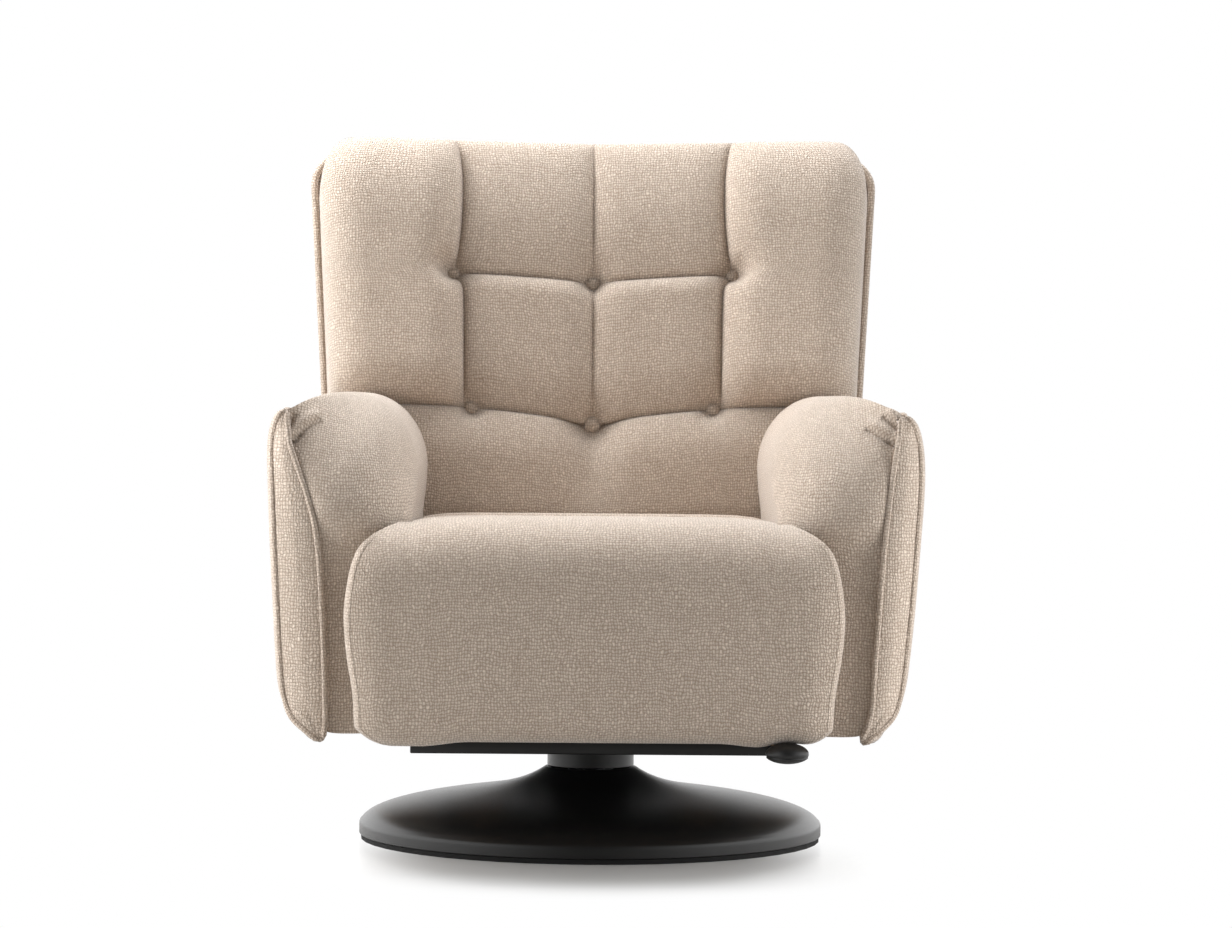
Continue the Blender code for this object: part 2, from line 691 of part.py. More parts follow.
def make_footrest():
    step = SEAT_HALF + SEAT_SIDE_GAP / 3
    ear_start = SEAT_HALF + SEAT_SIDE_GAP
    ears = [blend(ear_start, PAD_HALF, share) for share in (0, 0.3, 0.55, 0.75, 0.89, 0.97, 1)]
    middles = [0, step * 0.36, step * 0.72, step]
    half = [(x, False) for x in middles] + [(x, True) for x in ears]
    stations = [(-x, ear) for x, ear in half[:0:-1]] + half
    loft("footrest_pad", [pad_section(x, ear) for x, ear in stations], FABRIC, FOOTREST)
    box("footrest_board", (-FOOT_BOARD_HALF, BOARD_FRONT_Y, FOOT_BOARD_Z),
        (FOOT_BOARD_HALF, BOARD_FRONT_Y + FOOT_BOARD_T, FOOT_BOARD_TOP_Z), BIRCH, FOOTREST)
    for side, sign in SIDES:
        footrest_hinge(side, sign * FOOT_HINGE_X)


def footrest_hinge(side, middle):
    """Two knuckles and the pin on the seat rail's leaf, one knuckle on the board's leaf."""
    hinge = (FOOT_PIVOT_Y, FOOT_PIVOT_Z)
    low, high = middle - FOOT_HINGE_W / 2, middle + FOOT_HINGE_W / 2
    room_low = middle - FOOT_KNUCKLE_W / 2 - RUNNING
    room_high = middle + FOOT_KNUCKLE_W / 2 + RUNNING
    bend = fixed_leaf_bend()
    leaf = plate("footrest_hinge_fixed_" + side, strip([hinge, bend, (bend.x, bend.y - FIXED_LEAF_L)], HINGE_T),
                 low, high, STEEL, parent=SWIVEL)
    cut(leaf, bar("knuckle_room_" + side, (room_low, *hinge), (room_high, *hinge), KNUCKLE_R + KNUCKLE_ROOM))
    join(leaf, bar("knuckle_low_" + side, (low, *hinge), (room_low, *hinge), KNUCKLE_R, steps=PIN_STEPS))
    join(leaf, bar("knuckle_high_" + side, (room_high, *hinge), (high, *hinge), KNUCKLE_R, steps=PIN_STEPS))
    join(leaf, bar("hinge_pin_" + side, (low + RUNNING, *hinge), (high - RUNNING, *hinge), HINGE_PIN_R,
                   steps=PIN_STEPS))
    bend = moving_leaf_bend()
    tongue = plate("footrest_hinge_leaf_" + side, strip([hinge, bend, (bend.x, bend.y - MOVING_LEAF_L)], HINGE_T),
                   middle - FOOT_KNUCKLE_W / 2, middle + FOOT_KNUCKLE_W / 2, STEEL, parent=FOOTREST)
    reach = FOOT_KNUCKLE_W / 2
    join(tongue, bar("knuckle_" + side, (middle - reach, *hinge), (middle + reach, *hinge), KNUCKLE_R,
                     steps=PIN_STEPS))
    cut(tongue, bar("knuckle_bore_" + side, (low, *hinge), (high, *hinge), HINGE_PIN_R + RUNNING,
                    steps=PIN_STEPS))


def arm_underside(share):
    """The bolster's outer side above the arm's waist, from the waist to the welt."""
    x = blend(BOLSTER_OUT_X, ARM_WELT_X, share ** 2)
    return (x, blend(ARM_WAIST_Z, ARM_WELT_Z - 2 * ARM_SEAM, share))


def bolster_outline():
    points = [(BOLSTER_IN_X, ARM_FOOT_Z), (BOLSTER_IN_X, ARM_WAIST_Z),
              (BOLSTER_IN_X, ARM_ROLL_Z)]
    for k in range(1, 6):
        angle = math.pi / 2 * k / 5
        points.append((blend(ARM_CREST_X, BOLSTER_IN_X, math.cos(angle)),
                       blend(ARM_ROLL_Z, ARM_TOP_Z, math.sin(angle))))
    for share in (0.5, 0.8, 1.0):
        points.append((blend(ARM_CREST_X, ARM_WELT_X, share), blend(ARM_TOP_Z, ARM_WELT_Z, share ** 2)))
    points += [arm_underside(share) for share in (0.85, 0.6, 0.3, 0.0)]
    return points + [(BOLSTER_OUT_X, ARM_FOOT_Z)]


def outer_pad_outline(inner_x):
    points = [(inner_x, ARM_FOOT_Z)]
    for share in (0.0, 0.3, 0.55, 0.75, 0.93):
        x, z = arm_underside(share)
        points.append((max(inner_x, x + ARM_SEAM), z))
    top = ARM_WELT_Z - 3 * ARM_SEAM
    waist = (ARM_WAIST_Z - ARM_FOOT_Z) / (top - ARM_FOOT_Z)
    for share, taper in ((1.0, 0.2), (0.9, 0.02), (waist, 0.0), (0.4, 0.12), (0.16, 0.5), (0.0, 1.0)):
        points.append((ARM_OUT_X - ARM_TAPER * taper, blend(ARM_FOOT_Z, top, share)))
    return points


def arm_section(outline, sign, y, inset=0.0):
    """Outline at depth y, drawn in by inset at its top and on both sides of the arm's panel; y None is the rear
    face, which leans with the back. Above the waist the front leans back, and less so towards the rear."""
    width = max(abs(x - ARM_PANEL_X) for x, z in outline)
    section = []
    for x, z in outline:
        x = ARM_PANEL_X + (x - ARM_PANEL_X) * (1 - inset / width)
        over = max(0.0, z - ARM_WAIST_Z) * (1 - inset / (ARM_TOP_Z - ARM_WAIST_Z))
        z = min(z, ARM_WAIST_Z) + over
        if y is None:
            place = ARM_REAR_Y + math.tan(BACK_LEAN) * over
        else:
            place = y + math.tan(ARM_FRONT_LEAN) * over * (ARM_REAR_Y - y) / (ARM_REAR_Y - ARM_STRIP_Y)
        section.append((sign * x, place, z))
    return section


def make_arm(side, sign):
    near, far = sorted((sign * ARM_PANEL_X, sign * PANEL_OUT_X))
    front, rear = ARM_STRIP_Y + STRIP_DEPTH + TOUCH, ARM_REAR_Y - ARM_PANEL_INSET
    tail = APRON_REAR_Y - PLY - TOUCH
    plate("arm_panel_" + side, [(front, BOX_Z + ARM_PANEL_RISE), (front + ARM_PANEL_RUN, BOX_Z), (tail, BOX_Z),
                                (tail, APRON_TOP_Z), (rear, APRON_TOP_Z), (rear, ARM_WAIST_Z),
                                (front, ARM_WAIST_Z)], near, far, BIRCH, parent=SWIVEL)
    outline = bolster_outline()
    depth = ARM_REAR_Y - ARM_FRONT_Y
    rows = ((0.0, 0.070), (0.03, 0.050), (0.09, 0.028), (0.19, 0.008), (0.31, 0.0), (0.8, 0.0))
    sections = [arm_section(outline, sign, ARM_FRONT_Y + depth * along, inset) for along, inset in rows]
    waist = (1, len(outline) - 2)
    loft("arm_bolster_" + side, sections + [arm_section(outline, sign, None)], FABRIC, SWIVEL, waist)
    strip_outline = outer_pad_outline(ARM_PANEL_X + RUNNING)
    pad_outline = outer_pad_outline(PANEL_OUT_X + TOUCH)
    step_y = ARM_STRIP_Y + STRIP_DEPTH
    sections = [arm_section(strip_outline, sign, ARM_STRIP_Y, 0.006),
                arm_section(strip_outline, sign, ARM_STRIP_Y + STRIP_DEPTH / 4),
                arm_section(strip_outline, sign, step_y - 2 * ARM_SEAM),
                arm_section(pad_outline, sign, step_y),
                arm_section(pad_outline, sign, blend(step_y, ARM_REAR_Y, 0.5)),
                arm_section(pad_outline, sign, None)]
    loft("arm_outer_pad_" + side, sections, FABRIC, SWIVEL, (1, 8))


def make_apron():
    """Covered board between the tails of the two arm panels."""
    box("rear_apron", (-PANEL_OUT_X, APRON_REAR_Y - PLY, BOX_Z), (PANEL_OUT_X, APRON_REAR_Y, APRON_TOP_Z),
        FABRIC, SWIVEL)


def make_back_hinge(side, sign):
    """Chassis plate with its headed pivot pin, and the back's arm that turns on the pin."""
    near, far = sorted((sign * HINGE_PLATE_X, sign * (HINGE_PLATE_X + HINGE_PLATE_T)))
    outline = hull((BACK_PIVOT_Y, BACK_PIVOT_Z, HINGE_PLATE_R),
                   (BACK_PIVOT_Y - HINGE_PLATE_REACH, BACK_PIVOT_Z - HINGE_PLATE_FALL, HINGE_PLATE_R))
    chassis_plate = plate("back_hinge_plate_" + side, outline, near, far, STEEL, parent=SWIVEL)
    arm_out = HINGE_ARM_X + HINGE_PLATE_T
    head_out = arm_out + RUNNING + PIVOT_HEAD_T
    axis = (BACK_PIVOT_Y, BACK_PIVOT_Z)
    join(chassis_plate, bar("pivot_pin_" + side, (sign * (HINGE_PLATE_X + HINGE_PLATE_T / 2), *axis),
                            (sign * (head_out - PIVOT_HEAD_T / 2), *axis), PIVOT_PIN_R, steps=PIN_STEPS))
    join(chassis_plate, bar("pivot_head_" + side, (sign * (arm_out + RUNNING), *axis), (sign * head_out, *axis),
                            PIVOT_HEAD_R, steps=PIN_STEPS))
    near, far = sorted((sign * HINGE_ARM_X, sign * arm_out))
    plate("back_hinge_arm_" + side, hull((0, 0, HINGE_ARM_R), (0, HINGE_ARM_L, HINGE_ARM_R)), near, far, STEEL,
          [((0, 0), PIVOT_PIN_R + RUNNING)], BACK)


def make_back_frame():
    deep = BACK_FRAME_HALF_T
    arm_out = HINGE_ARM_X + HINGE_PLATE_T
    stile_in = arm_out + TOUCH
    for side, sign in SIDES:
        near, far = sorted((sign * stile_in, sign * (stile_in + STILE_W)))
        box("back_stile_" + side, (near, -deep, STILE_FOOT), (far, deep, STILE_TOP), BIRCH, BACK)
        make_back_hinge(side, sign)
    short = HINGE_ARM_X - TOUCH
    box("back_bottom_rail", (-short, -deep, STILE_FOOT), (short, deep, STILE_FOOT + RAIL_H), BIRCH, BACK)
    long = stile_in - TOUCH
    box("back_top_rail", (-long, -deep, STILE_TOP - RAIL_H), (long, deep, STILE_TOP), BIRCH, BACK)
    box("back_webbing", (-long, -deep, WEBBING_UP), (long, WEBBING_T - deep, WEBBING_UP + WEBBING_W),
        WEBBING, BACK)


def back_half_width(up):
    width = blend(BACK_FOOT_HALF, BACK_TOP_HALF, (up - BACK_FOOT) / (BACK_TOP - BACK_FOOT))
    over = max(0.0, (up - BACK_TOP) / BACK_CORNER_H + 1)
    return width - BACK_CORNER_W * over ** 2


def back_arch(share, up):
    """Fall of the back's top towards its corners; share runs from the middle to the side."""
    return BACK_ARCH * share ** BACK_ARCH_POWER * max(0.0, 1 - (BACK_TOP - up) / BACK_CORNER_H)


def row_sag(x, up):
    """Drop of the sewn rows from the outer buttons to the middle one."""
    middle = max(0.0, 1 - abs(x) / tuft_x(up))
    if up < ROW_LOW:
        return middle * blend(0, ROW_LOW_SAG, (up - BACK_FOOT) / (ROW_LOW - BACK_FOOT))
    if up < ROW_HIGH:
        return middle * blend(ROW_LOW_SAG, ROW_HIGH_SAG, (up - ROW_LOW) / (ROW_HIGH - ROW_LOW))
    return middle * blend(ROW_HIGH_SAG, 0, (up - ROW_HIGH) / (BACK_TOP - ROW_HIGH))


def tuft_x(up):
    share = (up - ROW_LOW) / (ROW_HIGH - ROW_LOW)
    return blend(TUFT_LOW_X, TUFT_HIGH_X, min(1.0, max(0.0, share)))


def pillow(share):
    """Swell across one pillow, nothing at its two seams."""
    return math.sqrt(max(0.0, 1 - abs(2 * share - 1) ** TUFT_POWER))


def rounded(gap, reach):
    """Quarter round from nothing at an edge to full at reach."""
    return math.sqrt(max(0.0, 1 - (1 - min(1.0, gap / reach)) ** 2))


def kept(swell):
    """Swell at a seam inside the face, where the cushion keeps part of its fullness."""
    return blend(SEAM_KEEP, 1, swell)


def back_wrap(side, up):
    """How far the face comes forward towards its sides, so that the back is hollow across."""
    return BACK_WRAP * side * min(1.0, (up - BACK_FOOT) / (ROW_LOW - BACK_FOOT))


def back_depth(x, up):
    """How far the tufted face stands in front of the back's axis."""
    half = back_half_width(up)
    seam = tuft_x(up)
    side = abs(x)
    if up < ROW_LOW:
        across = side / half
        along = (up - BACK_FOOT) / (ROW_LOW - BACK_FOOT)
    elif side > seam:
        across = (side - seam) / (half - seam)
        along = (up - ROW_LOW) / (BACK_TOP - ROW_LOW)
    else:
        across = side / seam
        low, high = (ROW_LOW, ROW_HIGH) if up < ROW_HIGH else (ROW_HIGH, BACK_TOP)
        along = (up - low) / (high - low)
    swell = BACK_CROWN * pillow(across) * pillow(along)
    if up >= ROW_LOW:
        top = rounded(BACK_TOP - up, WING_TOP_ROUND)
        if side > seam:
            swell = WING_CROWN * top * rounded(half - side, WING_ROUND) * kept(rounded(side - seam, WING_ROUND))
            swell *= kept(rounded(up - ROW_LOW, WING_ROUND))
        else:
            swell = BACK_CROWN * kept(pillow(across)) * (kept(pillow(along)) if up < ROW_HIGH else
                                                         top * kept(rounded(up - ROW_HIGH, WING_ROUND)))
    depth = BACK_EDGE_T + swell + back_wrap(side, up)
    for bx, bz in button_places():
        apart = math.hypot(x - bx, up - bz)
        depth -= TUFT_PINCH * math.exp(-(apart / TUFT_PINCH_R) ** 2)
    return depth


def button_places():
    return [(x * share, up) for up, x in ((ROW_HIGH, TUFT_HIGH_X), (ROW_LOW, TUFT_LOW_X)) for share in (-1, 0, 1)]


def spread(edges, counts):
    """Values from edge to edge, each stretch split into its count of equal steps."""
    values = [edges[0]]
    for low, high, count in zip(edges, edges[1:], counts):
        values += [blend(low, high, (k + 1) / count) for k in range(count)]
    return values


def make_back_cushion():
    wing, middle = 6, 6
    ups = spread((BACK_FOOT, ROW_LOW, ROW_HIGH, BACK_TOP), (5, 7, 7))
    columns = 2 * (wing + middle)
    bm = bmesh.new()
    bmesh.ops.create_grid(bm, x_segments=columns, y_segments=len(ups) - 1, size=1)
    for vert in bm.verts:
        column = round((vert.co.x + 1) / 2 * columns) - wing - middle
        up = ups[round((vert.co.y + 1) / 2 * (len(ups) - 1))]
        half, seam = back_half_width(up), tuft_x(up)
        size = abs(column)
        side = seam * size / middle if size <= middle else blend(seam, half, (size - middle) / wing)
        x = math.copysign(side, column)
        depth = back_depth(x, up)
        vert.co = (x, -depth, up - back_arch(side / half, up) - row_sag(x, up))
    rim = [edge for edge in bm.edges if edge.is_boundary]
    rear = BACK_FRAME_HALF_T
    for depth, swell in ((blend(-BACK_EDGE_T, rear, 0.35), BACK_SIDE_SWELL), (rear, -BACK_SIDE_SWELL)):
        made = bmesh.ops.extrude_edge_only(bm, edges=rim)["geom"]
        rim = [edge for edge in made if isinstance(edge, bmesh.types.BMEdge) and edge.is_boundary]
        centre = (BACK_FOOT + BACK_TOP) / 2
        for vert in {vert for edge in rim for vert in edge.verts}:
            grow_x = 1 + swell / BACK_TOP_HALF
            grow_z = 1 + 2 * swell / (BACK_TOP - BACK_FOOT)
            vert.co = (vert.co.x * grow_x, depth, centre + (vert.co.z - centre) * grow_z)
    bmesh.ops.contextual_create(bm, geom=rim)
    cushion = mesh_object("back_cushion", mesh_from(bm, "back_cushion"), FABRIC, BACK, smooth=True)
    stile_out = HINGE_ARM_X + HINGE_PLATE_T + STILE_W + 2 * TOUCH
    cut(cushion, box("frame_pocket", (-stile_out, -BACK_FRAME_HALF_T - TOUCH, 0),
                     (stile_out, BACK_FRAME_T, STILE_TOP + TOUCH), parent=BACK))
    for k, (x, row) in enumerate(button_places()):
        floor = BACK_EDGE_T - TUFT_PINCH + back_wrap(abs(x), row)
        up = row - row_sag(x, row)
        cut(cushion, bar(f"button_pocket_{k + 1}", (x, -floor - WING_CROWN, up), (x, -floor, up),
                         BUTTON_R + BUTTON_ROOM, parent=BACK))
        face, back = BUTTON_H, TOUCH
        button = turned(f"back_button_{k + 1}",
                        [(0, face), (0.5 * BUTTON_R, 0.92 * face), (0.87 * BUTTON_R, 0.65 * face),
                         (BUTTON_R, 0.3 * face), (0.9 * BUTTON_R, back), (0, back)],
                        FABRIC, BACK, PIN_STEPS)
        button.location = (x, -floor, up)
        button.rotation_euler.x = math.pi / 2


def back_outline(inset):
    """Edge of the back from its foot up one side, over the top and down, drawn in by inset."""
    shares = (0, 0.3, 0.6, 0.8, 0.9, 0.96, 1)
    side = []
    for share in shares:
        up = blend(BACK_FOOT, BACK_TOP, share)
        side.append((back_half_width(up), up - back_arch(1, up)))
    side += [(back_half_width(BACK_TOP) * share, BACK_TOP - back_arch(share, BACK_TOP)) for share in (0.9, 0.7)]
    middle = (BACK_FOOT + BACK_TOP) / 2
    shrink_x = 1 - inset / BACK_TOP_HALF
    shrink_z = 1 - inset / (BACK_TOP - middle)
    half = [(x * shrink_x, middle + (up - middle) * shrink_z) for x, up in side]
    return half + [(-x, up) for x, up in half[::-1]]


def make_rear_panel():
    front = BACK_FRAME_HALF_T + TOUCH
    rows = ((0, BACK_PANEL_INSET), (0.5, BACK_PANEL_INSET), (0.85, BACK_PANEL_INSET + BACK_PANEL_ROUND / 3),
            (1, BACK_PANEL_INSET + BACK_PANEL_ROUND))
    sections = []
    for share, inset in rows:
        depth = front + BACK_PANEL_T * share
        sections.append([(x, depth, up) for x, up in back_outline(inset)])
    loft("back_rear_panel", sections, FABRIC, BACK)


def make_gas_spring():
    """The back's crank drives the rod; the rod's slotted fork takes up the crank pin's arc."""
    rest = CRANK_HALF_TURN + BACK_LEAN
    eye = Vector((CRANK_R * math.sin(rest), -CRANK_R * math.cos(rest)))
    corner = BACK_FRAME_HALF_T / 4
    top = STILE_FOOT - TOUCH - corner
    crank = plate("back_crank", hull((-BACK_FRAME_HALF_T + corner, top, corner),
                                     (BACK_FRAME_HALF_T - corner, top, corner), (eye.x, eye.y, CRANK_EYE_R)),
                  -CRANK_T / 2, CRANK_T / 2, STEEL, parent=BACK)
    half_pin = CRANK_PIN_L / 2
    join(crank, bar("crank_pin", (-half_pin, eye.x, eye.y), (half_pin, eye.x, eye.y), CRANK_PIN_R,
                    parent=BACK, steps=PIN_STEPS))

    pin_y = BACK_PIVOT_Y + CRANK_R * math.sin(CRANK_HALF_TURN)
    length = CYLINDER_REAR_Y - CYLINDER_FRONT_Y
    turned("gas_spring_cylinder", [(CYLINDER_BORE_R, length), (CYLINDER_R, length), (CYLINDER_R, 0), (0, 0),
                                   (0, length - CYLINDER_BORE_L), (CYLINDER_BORE_R, length - CYLINDER_BORE_L)],
           POWDER, SWIVEL, SMALL_STEPS, (0, CYLINDER_FRONT_Y, GAS_Z))
    fork_root = pin_y - FORK_THROAT - FORK_ROOT
    rod = bar("gas_spring_rod", (0, CYLINDER_REAR_Y - ROD_IN_BORE, GAS_Z), (0, fork_root + FORK_ROOT / 2, GAS_Z),
              ROD_R, STEEL, SWIVEL, PIN_STEPS)
    fork = box("fork_block", (-FORK_W / 2, fork_root, GAS_Z - FORK_H / 2),
               (FORK_W / 2, pin_y + FORK_BACK, GAS_Z + FORK_H / 2))
    join(rod, fork)
    slot = CRANK_T / 2 + RUNNING
    cut(rod, box("fork_throat", (-slot, pin_y - FORK_THROAT, GAS_Z - FORK_H),
                 (slot, pin_y + FORK_H, GAS_Z + FORK_H)))
    cut(rod, plate("fork_slot", hull((pin_y, GAS_Z - FORK_SLOT_HALF, FORK_SLOT_R),
                                     (pin_y, GAS_Z + FORK_SLOT_HALF, FORK_SLOT_R)), -FORK_W, FORK_W))
    box("gas_spring_cradle", (-CRADLE_W / 2, CYLINDER_REAR_Y - CRADLE_L, PLATE_TOP_Z + TOUCH),
        (CRADLE_W / 2, CYLINDER_REAR_Y, GAS_Z - CYLINDER_R - TOUCH), POWDER, SWIVEL)
    head = box("release_head", (-HEAD_W / 2, SHAFT_Y - HEAD_L / 2, PLATE_TOP_Z + TOUCH),
               (HEAD_W / 2, SHAFT_Y + HEAD_L / 2, GAS_Z + HEAD_ABOVE), POWDER, SWIVEL)
    shaft_end = HEAD_W / 2 - SHAFT_IN_HEAD
    cut(head, bar("head_bore", (shaft_end - RUNNING, SHAFT_Y, SHAFT_Z), (HEAD_W, SHAFT_Y, SHAFT_Z),
                  SHAFT_R + RUNNING))


def make_lever():
    far = LEVER_X + LEVER_T
    bar("release_shaft", (HEAD_W / 2 - SHAFT_IN_HEAD, SHAFT_Y, SHAFT_Z), (far + RUNNING, SHAFT_Y, SHAFT_Z), SHAFT_R,
        STEEL, LEVER)
    plate("release_lever_arm", hull((SHAFT_Y, SHAFT_Z, LEVER_HUB_R), (LEVER_TIP_Y, LEVER_TIP_Z, LEVER_TIP_R)),
          LEVER_X, far, POWDER, [((SHAFT_Y, SHAFT_Z), SHAFT_R + RUNNING)], LEVER)
    bm = bmesh.new()
    bmesh.ops.create_uvsphere(bm, u_segments=24, v_segments=12, radius=1)
    bmesh.ops.scale(bm, vec=PADDLE_HALF, verts=bm.verts)
    middle = LEVER_X + LEVER_T / 2
    bmesh.ops.translate(bm, vec=(middle, PADDLE_Y, PADDLE_Z), verts=bm.verts)
    paddle = mesh_object("release_paddle", mesh_from(bm, "release_paddle"), PLASTIC, LEVER, smooth=True)
    socket = hull((SHAFT_Y, SHAFT_Z, LEVER_HUB_R + RUNNING), (LEVER_TIP_Y, LEVER_TIP_Z, LEVER_TIP_R + RUNNING))
    cut(paddle, plate("lever_socket", socket, LEVER_X - RUNNING, far + RUNNING, parent=LEVER))


make_base()
make_subframe()
make_seat_box()
make_seat_cushion()
make_footrest()
for side_name, side_sign in SIDES:
    make_arm(side_name, side_sign)
make_apron()
make_back_frame()
make_back_cushion()
make_rear_panel()
make_gas_spring()
make_lever()
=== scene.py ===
import json
import math

import bmesh
import bpy
import numpy as np
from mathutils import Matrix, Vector


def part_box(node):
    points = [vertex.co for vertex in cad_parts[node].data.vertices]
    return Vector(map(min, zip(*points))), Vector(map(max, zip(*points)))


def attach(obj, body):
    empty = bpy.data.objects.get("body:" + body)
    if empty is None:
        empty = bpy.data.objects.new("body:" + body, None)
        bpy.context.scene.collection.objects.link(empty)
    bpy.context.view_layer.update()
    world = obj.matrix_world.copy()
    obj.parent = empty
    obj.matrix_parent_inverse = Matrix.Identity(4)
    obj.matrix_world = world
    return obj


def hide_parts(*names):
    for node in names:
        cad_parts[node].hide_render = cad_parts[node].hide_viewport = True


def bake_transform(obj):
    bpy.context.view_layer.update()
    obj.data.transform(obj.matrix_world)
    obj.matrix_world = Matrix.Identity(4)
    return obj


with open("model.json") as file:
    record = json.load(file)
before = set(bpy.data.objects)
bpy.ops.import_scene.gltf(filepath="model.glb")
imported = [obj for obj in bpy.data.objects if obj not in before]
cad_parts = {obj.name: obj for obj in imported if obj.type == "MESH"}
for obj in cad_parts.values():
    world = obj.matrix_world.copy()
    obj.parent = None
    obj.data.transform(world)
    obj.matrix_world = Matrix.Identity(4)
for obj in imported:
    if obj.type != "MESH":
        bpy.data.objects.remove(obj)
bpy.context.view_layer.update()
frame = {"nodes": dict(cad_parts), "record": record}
nodes = frame["nodes"]

# Sizes of the chair in metres, near those in the part's source
SWIVEL_BASE_R = 0.3015
RIM_H = 0.015
DOME_RISE = 0.0525
DOME_POWER = 0.42
FLARE_RISE = 0.0265
FLARE_FADE = 0.040
NECK_R = 0.060
NECK_BORE_R = 0.052
COVER_FOOT_Z = 0.0063

SEAT_FRONT_Y = -0.438
SEAT_REAR_Y = 0.113
SEAT_TOP_Z = 0.432
SEAT_CREST_Y = -0.220
SEAT_FALL = 0.018
SEAT_HALF = 0.2212
SEAT_EDGE_DROP = 0.006
SEAT_FOAM_Z = 0.352
SEAT_SEAM_Y = -0.020
ROLL_R = 0.100
ROLL_Y = SEAT_FRONT_Y + ROLL_R
ROLL_POWER = 2.25
ROLL_Z = SEAT_TOP_Z - 0.002 - ROLL_R
HINGE_Y, HINGE_Z = -0.403054, 0.395054
BLOCK_HALF = 0.2985
BLOCK_FOOT_Z = 0.1600
BLOCK_LOBE_Z = 0.1545
BLOCK_BACK_Y = -0.3785
BOXING_W = 0.0105
PADDLE_X, PADDLE_Y = 0.2325, -0.418
# Half-width of the seat's front block at each height
BLOCK_SIDE = ((0.1540, 0.2395), (0.1568, 0.2560), (0.1630, 0.2705), (0.1733, 0.2841), (0.1795, 0.2878),
              (0.2060, 0.2893), (0.2268, 0.2916), (0.2496, 0.2956), (0.2743, 0.2991), (0.2949, 0.3008),
              (0.3115, 0.3015), (0.3321, 0.3000), (0.3486, 0.2977), (0.3672, 0.2942), (0.3837, 0.2887),
              (0.3960, 0.2816), (0.4073, 0.2693), (0.4157, 0.2545), (0.4228, 0.2372), (0.4272, 0.2241))

ARM_FOOT_Z = 0.167
ARM_TOP_Z = 0.580
ARM_IN_X = 0.2245
ARM_IN_BULGE = 0.0045
ARM_CREST_X = 0.306
ARM_ROLL_Z = 0.482
ARM_WAIST_Z = 0.400
ARM_PANEL_X = 0.3345
PANEL_OUT_X = 0.3535
ARM_WELT_X = 0.379
ARM_WELT_Z = 0.556
ARM_FRONT_Y = -0.372
ARM_STRIP_Y = -0.387
ARM_REAR_Y = 0.104
ARM_FRONT_LEAN = math.radians(20)

BACK_PIVOT_Y = 0.245
BACK_PIVOT_Z = 0.265
BACK_LEAN = math.radians(14)
BACK_FOOT = 0.075
BACK_TOP = 0.6535
BACK_MIDDLE = (BACK_FOOT + BACK_TOP) / 2
BACK_FOOT_HALF = 0.353
BACK_TOP_HALF = 0.389
PANEL_CORNER_W = 0.004
PANEL_CORNER_H = 0.012
FACE_CORNER_W = 0.048
FACE_CORNER_H = 0.080
BACK_EDGE_T = 0.110
ROW_LOW = 0.2745
ROW_HIGH = 0.4620
ROW_LOW_SAG = 0.019
ROW_HIGH_SAG = 0.0095
TUFT_LOW_X = 0.164
TUFT_HIGH_X = 0.192
BUTTON_R = 0.0112
BUTTON_DEPTH = 0.104
BUTTON_DOME = 0.0130

APRON_REAR_Y = 0.318
APRON_TOP_Z = 0.282
APRON_FOOT_Z = 0.156
APRON_HALF = 0.368

THREAD = 0.0041
WELT_SIDES = 10


def shade(code):
    """sRGB hex value as linear colour."""
    parts = [int(code[k:k + 2], 16) / 255 for k in (1, 3, 5)]
    return (*[p / 12.92 if p <= 0.04045 else ((p + 0.055) / 1.055) ** 2.4 for p in parts], 1)


def wire(tree, node, sockets):
    """Gives each named socket of a node a value, or the output of another node."""
    for name, value in sockets.items():
        if isinstance(value, bpy.types.NodeSocket):
            tree.links.new(value, node.inputs[name])
        else:
            node.inputs[name].default_value = value


def add(tree, kind, sockets=None, **settings):
    """Adds a node to a tree with its settings and sockets."""
    made = tree.nodes.new(kind)
    for name, value in settings.items():
        setattr(made, name, value)
    wire(tree, made, sockets or {})
    return made


def new_look(name):
    look = bpy.data.materials.new(name)
    look.use_nodes = True
    tree = look.node_tree
    return look, tree, tree.nodes["Principled BSDF"]


def sums(tree, operation, first, second=0.0):
    return add(tree, "ShaderNodeMath", {0: first, 1: second}, operation=operation).outputs[0]


def vectors(tree, operation, first, second):
    return add(tree, "ShaderNodeVectorMath", {0: first, 1: second}, operation=operation).outputs[0]


def noise(tree, place, scale, detail):
    return add(tree, "ShaderNodeTexNoise", {"Vector": place, "Scale": scale, "Detail": detail})


def tones(tree, share, low, high):
    """Colour between two sRGB hex values."""
    return add(tree, "ShaderNodeMix", {"Factor": share, "A": shade(low), "B": shade(high)},
               data_type="RGBA").outputs["Result"]


def weighed(tree, *terms):
    """Sum of outputs, each times its weight."""
    parts = [sums(tree, "MULTIPLY", output, weight) for output, weight in terms]
    total = parts[0]
    for part in parts[1:]:
        total = sums(tree, "ADD", total, part)
    return total


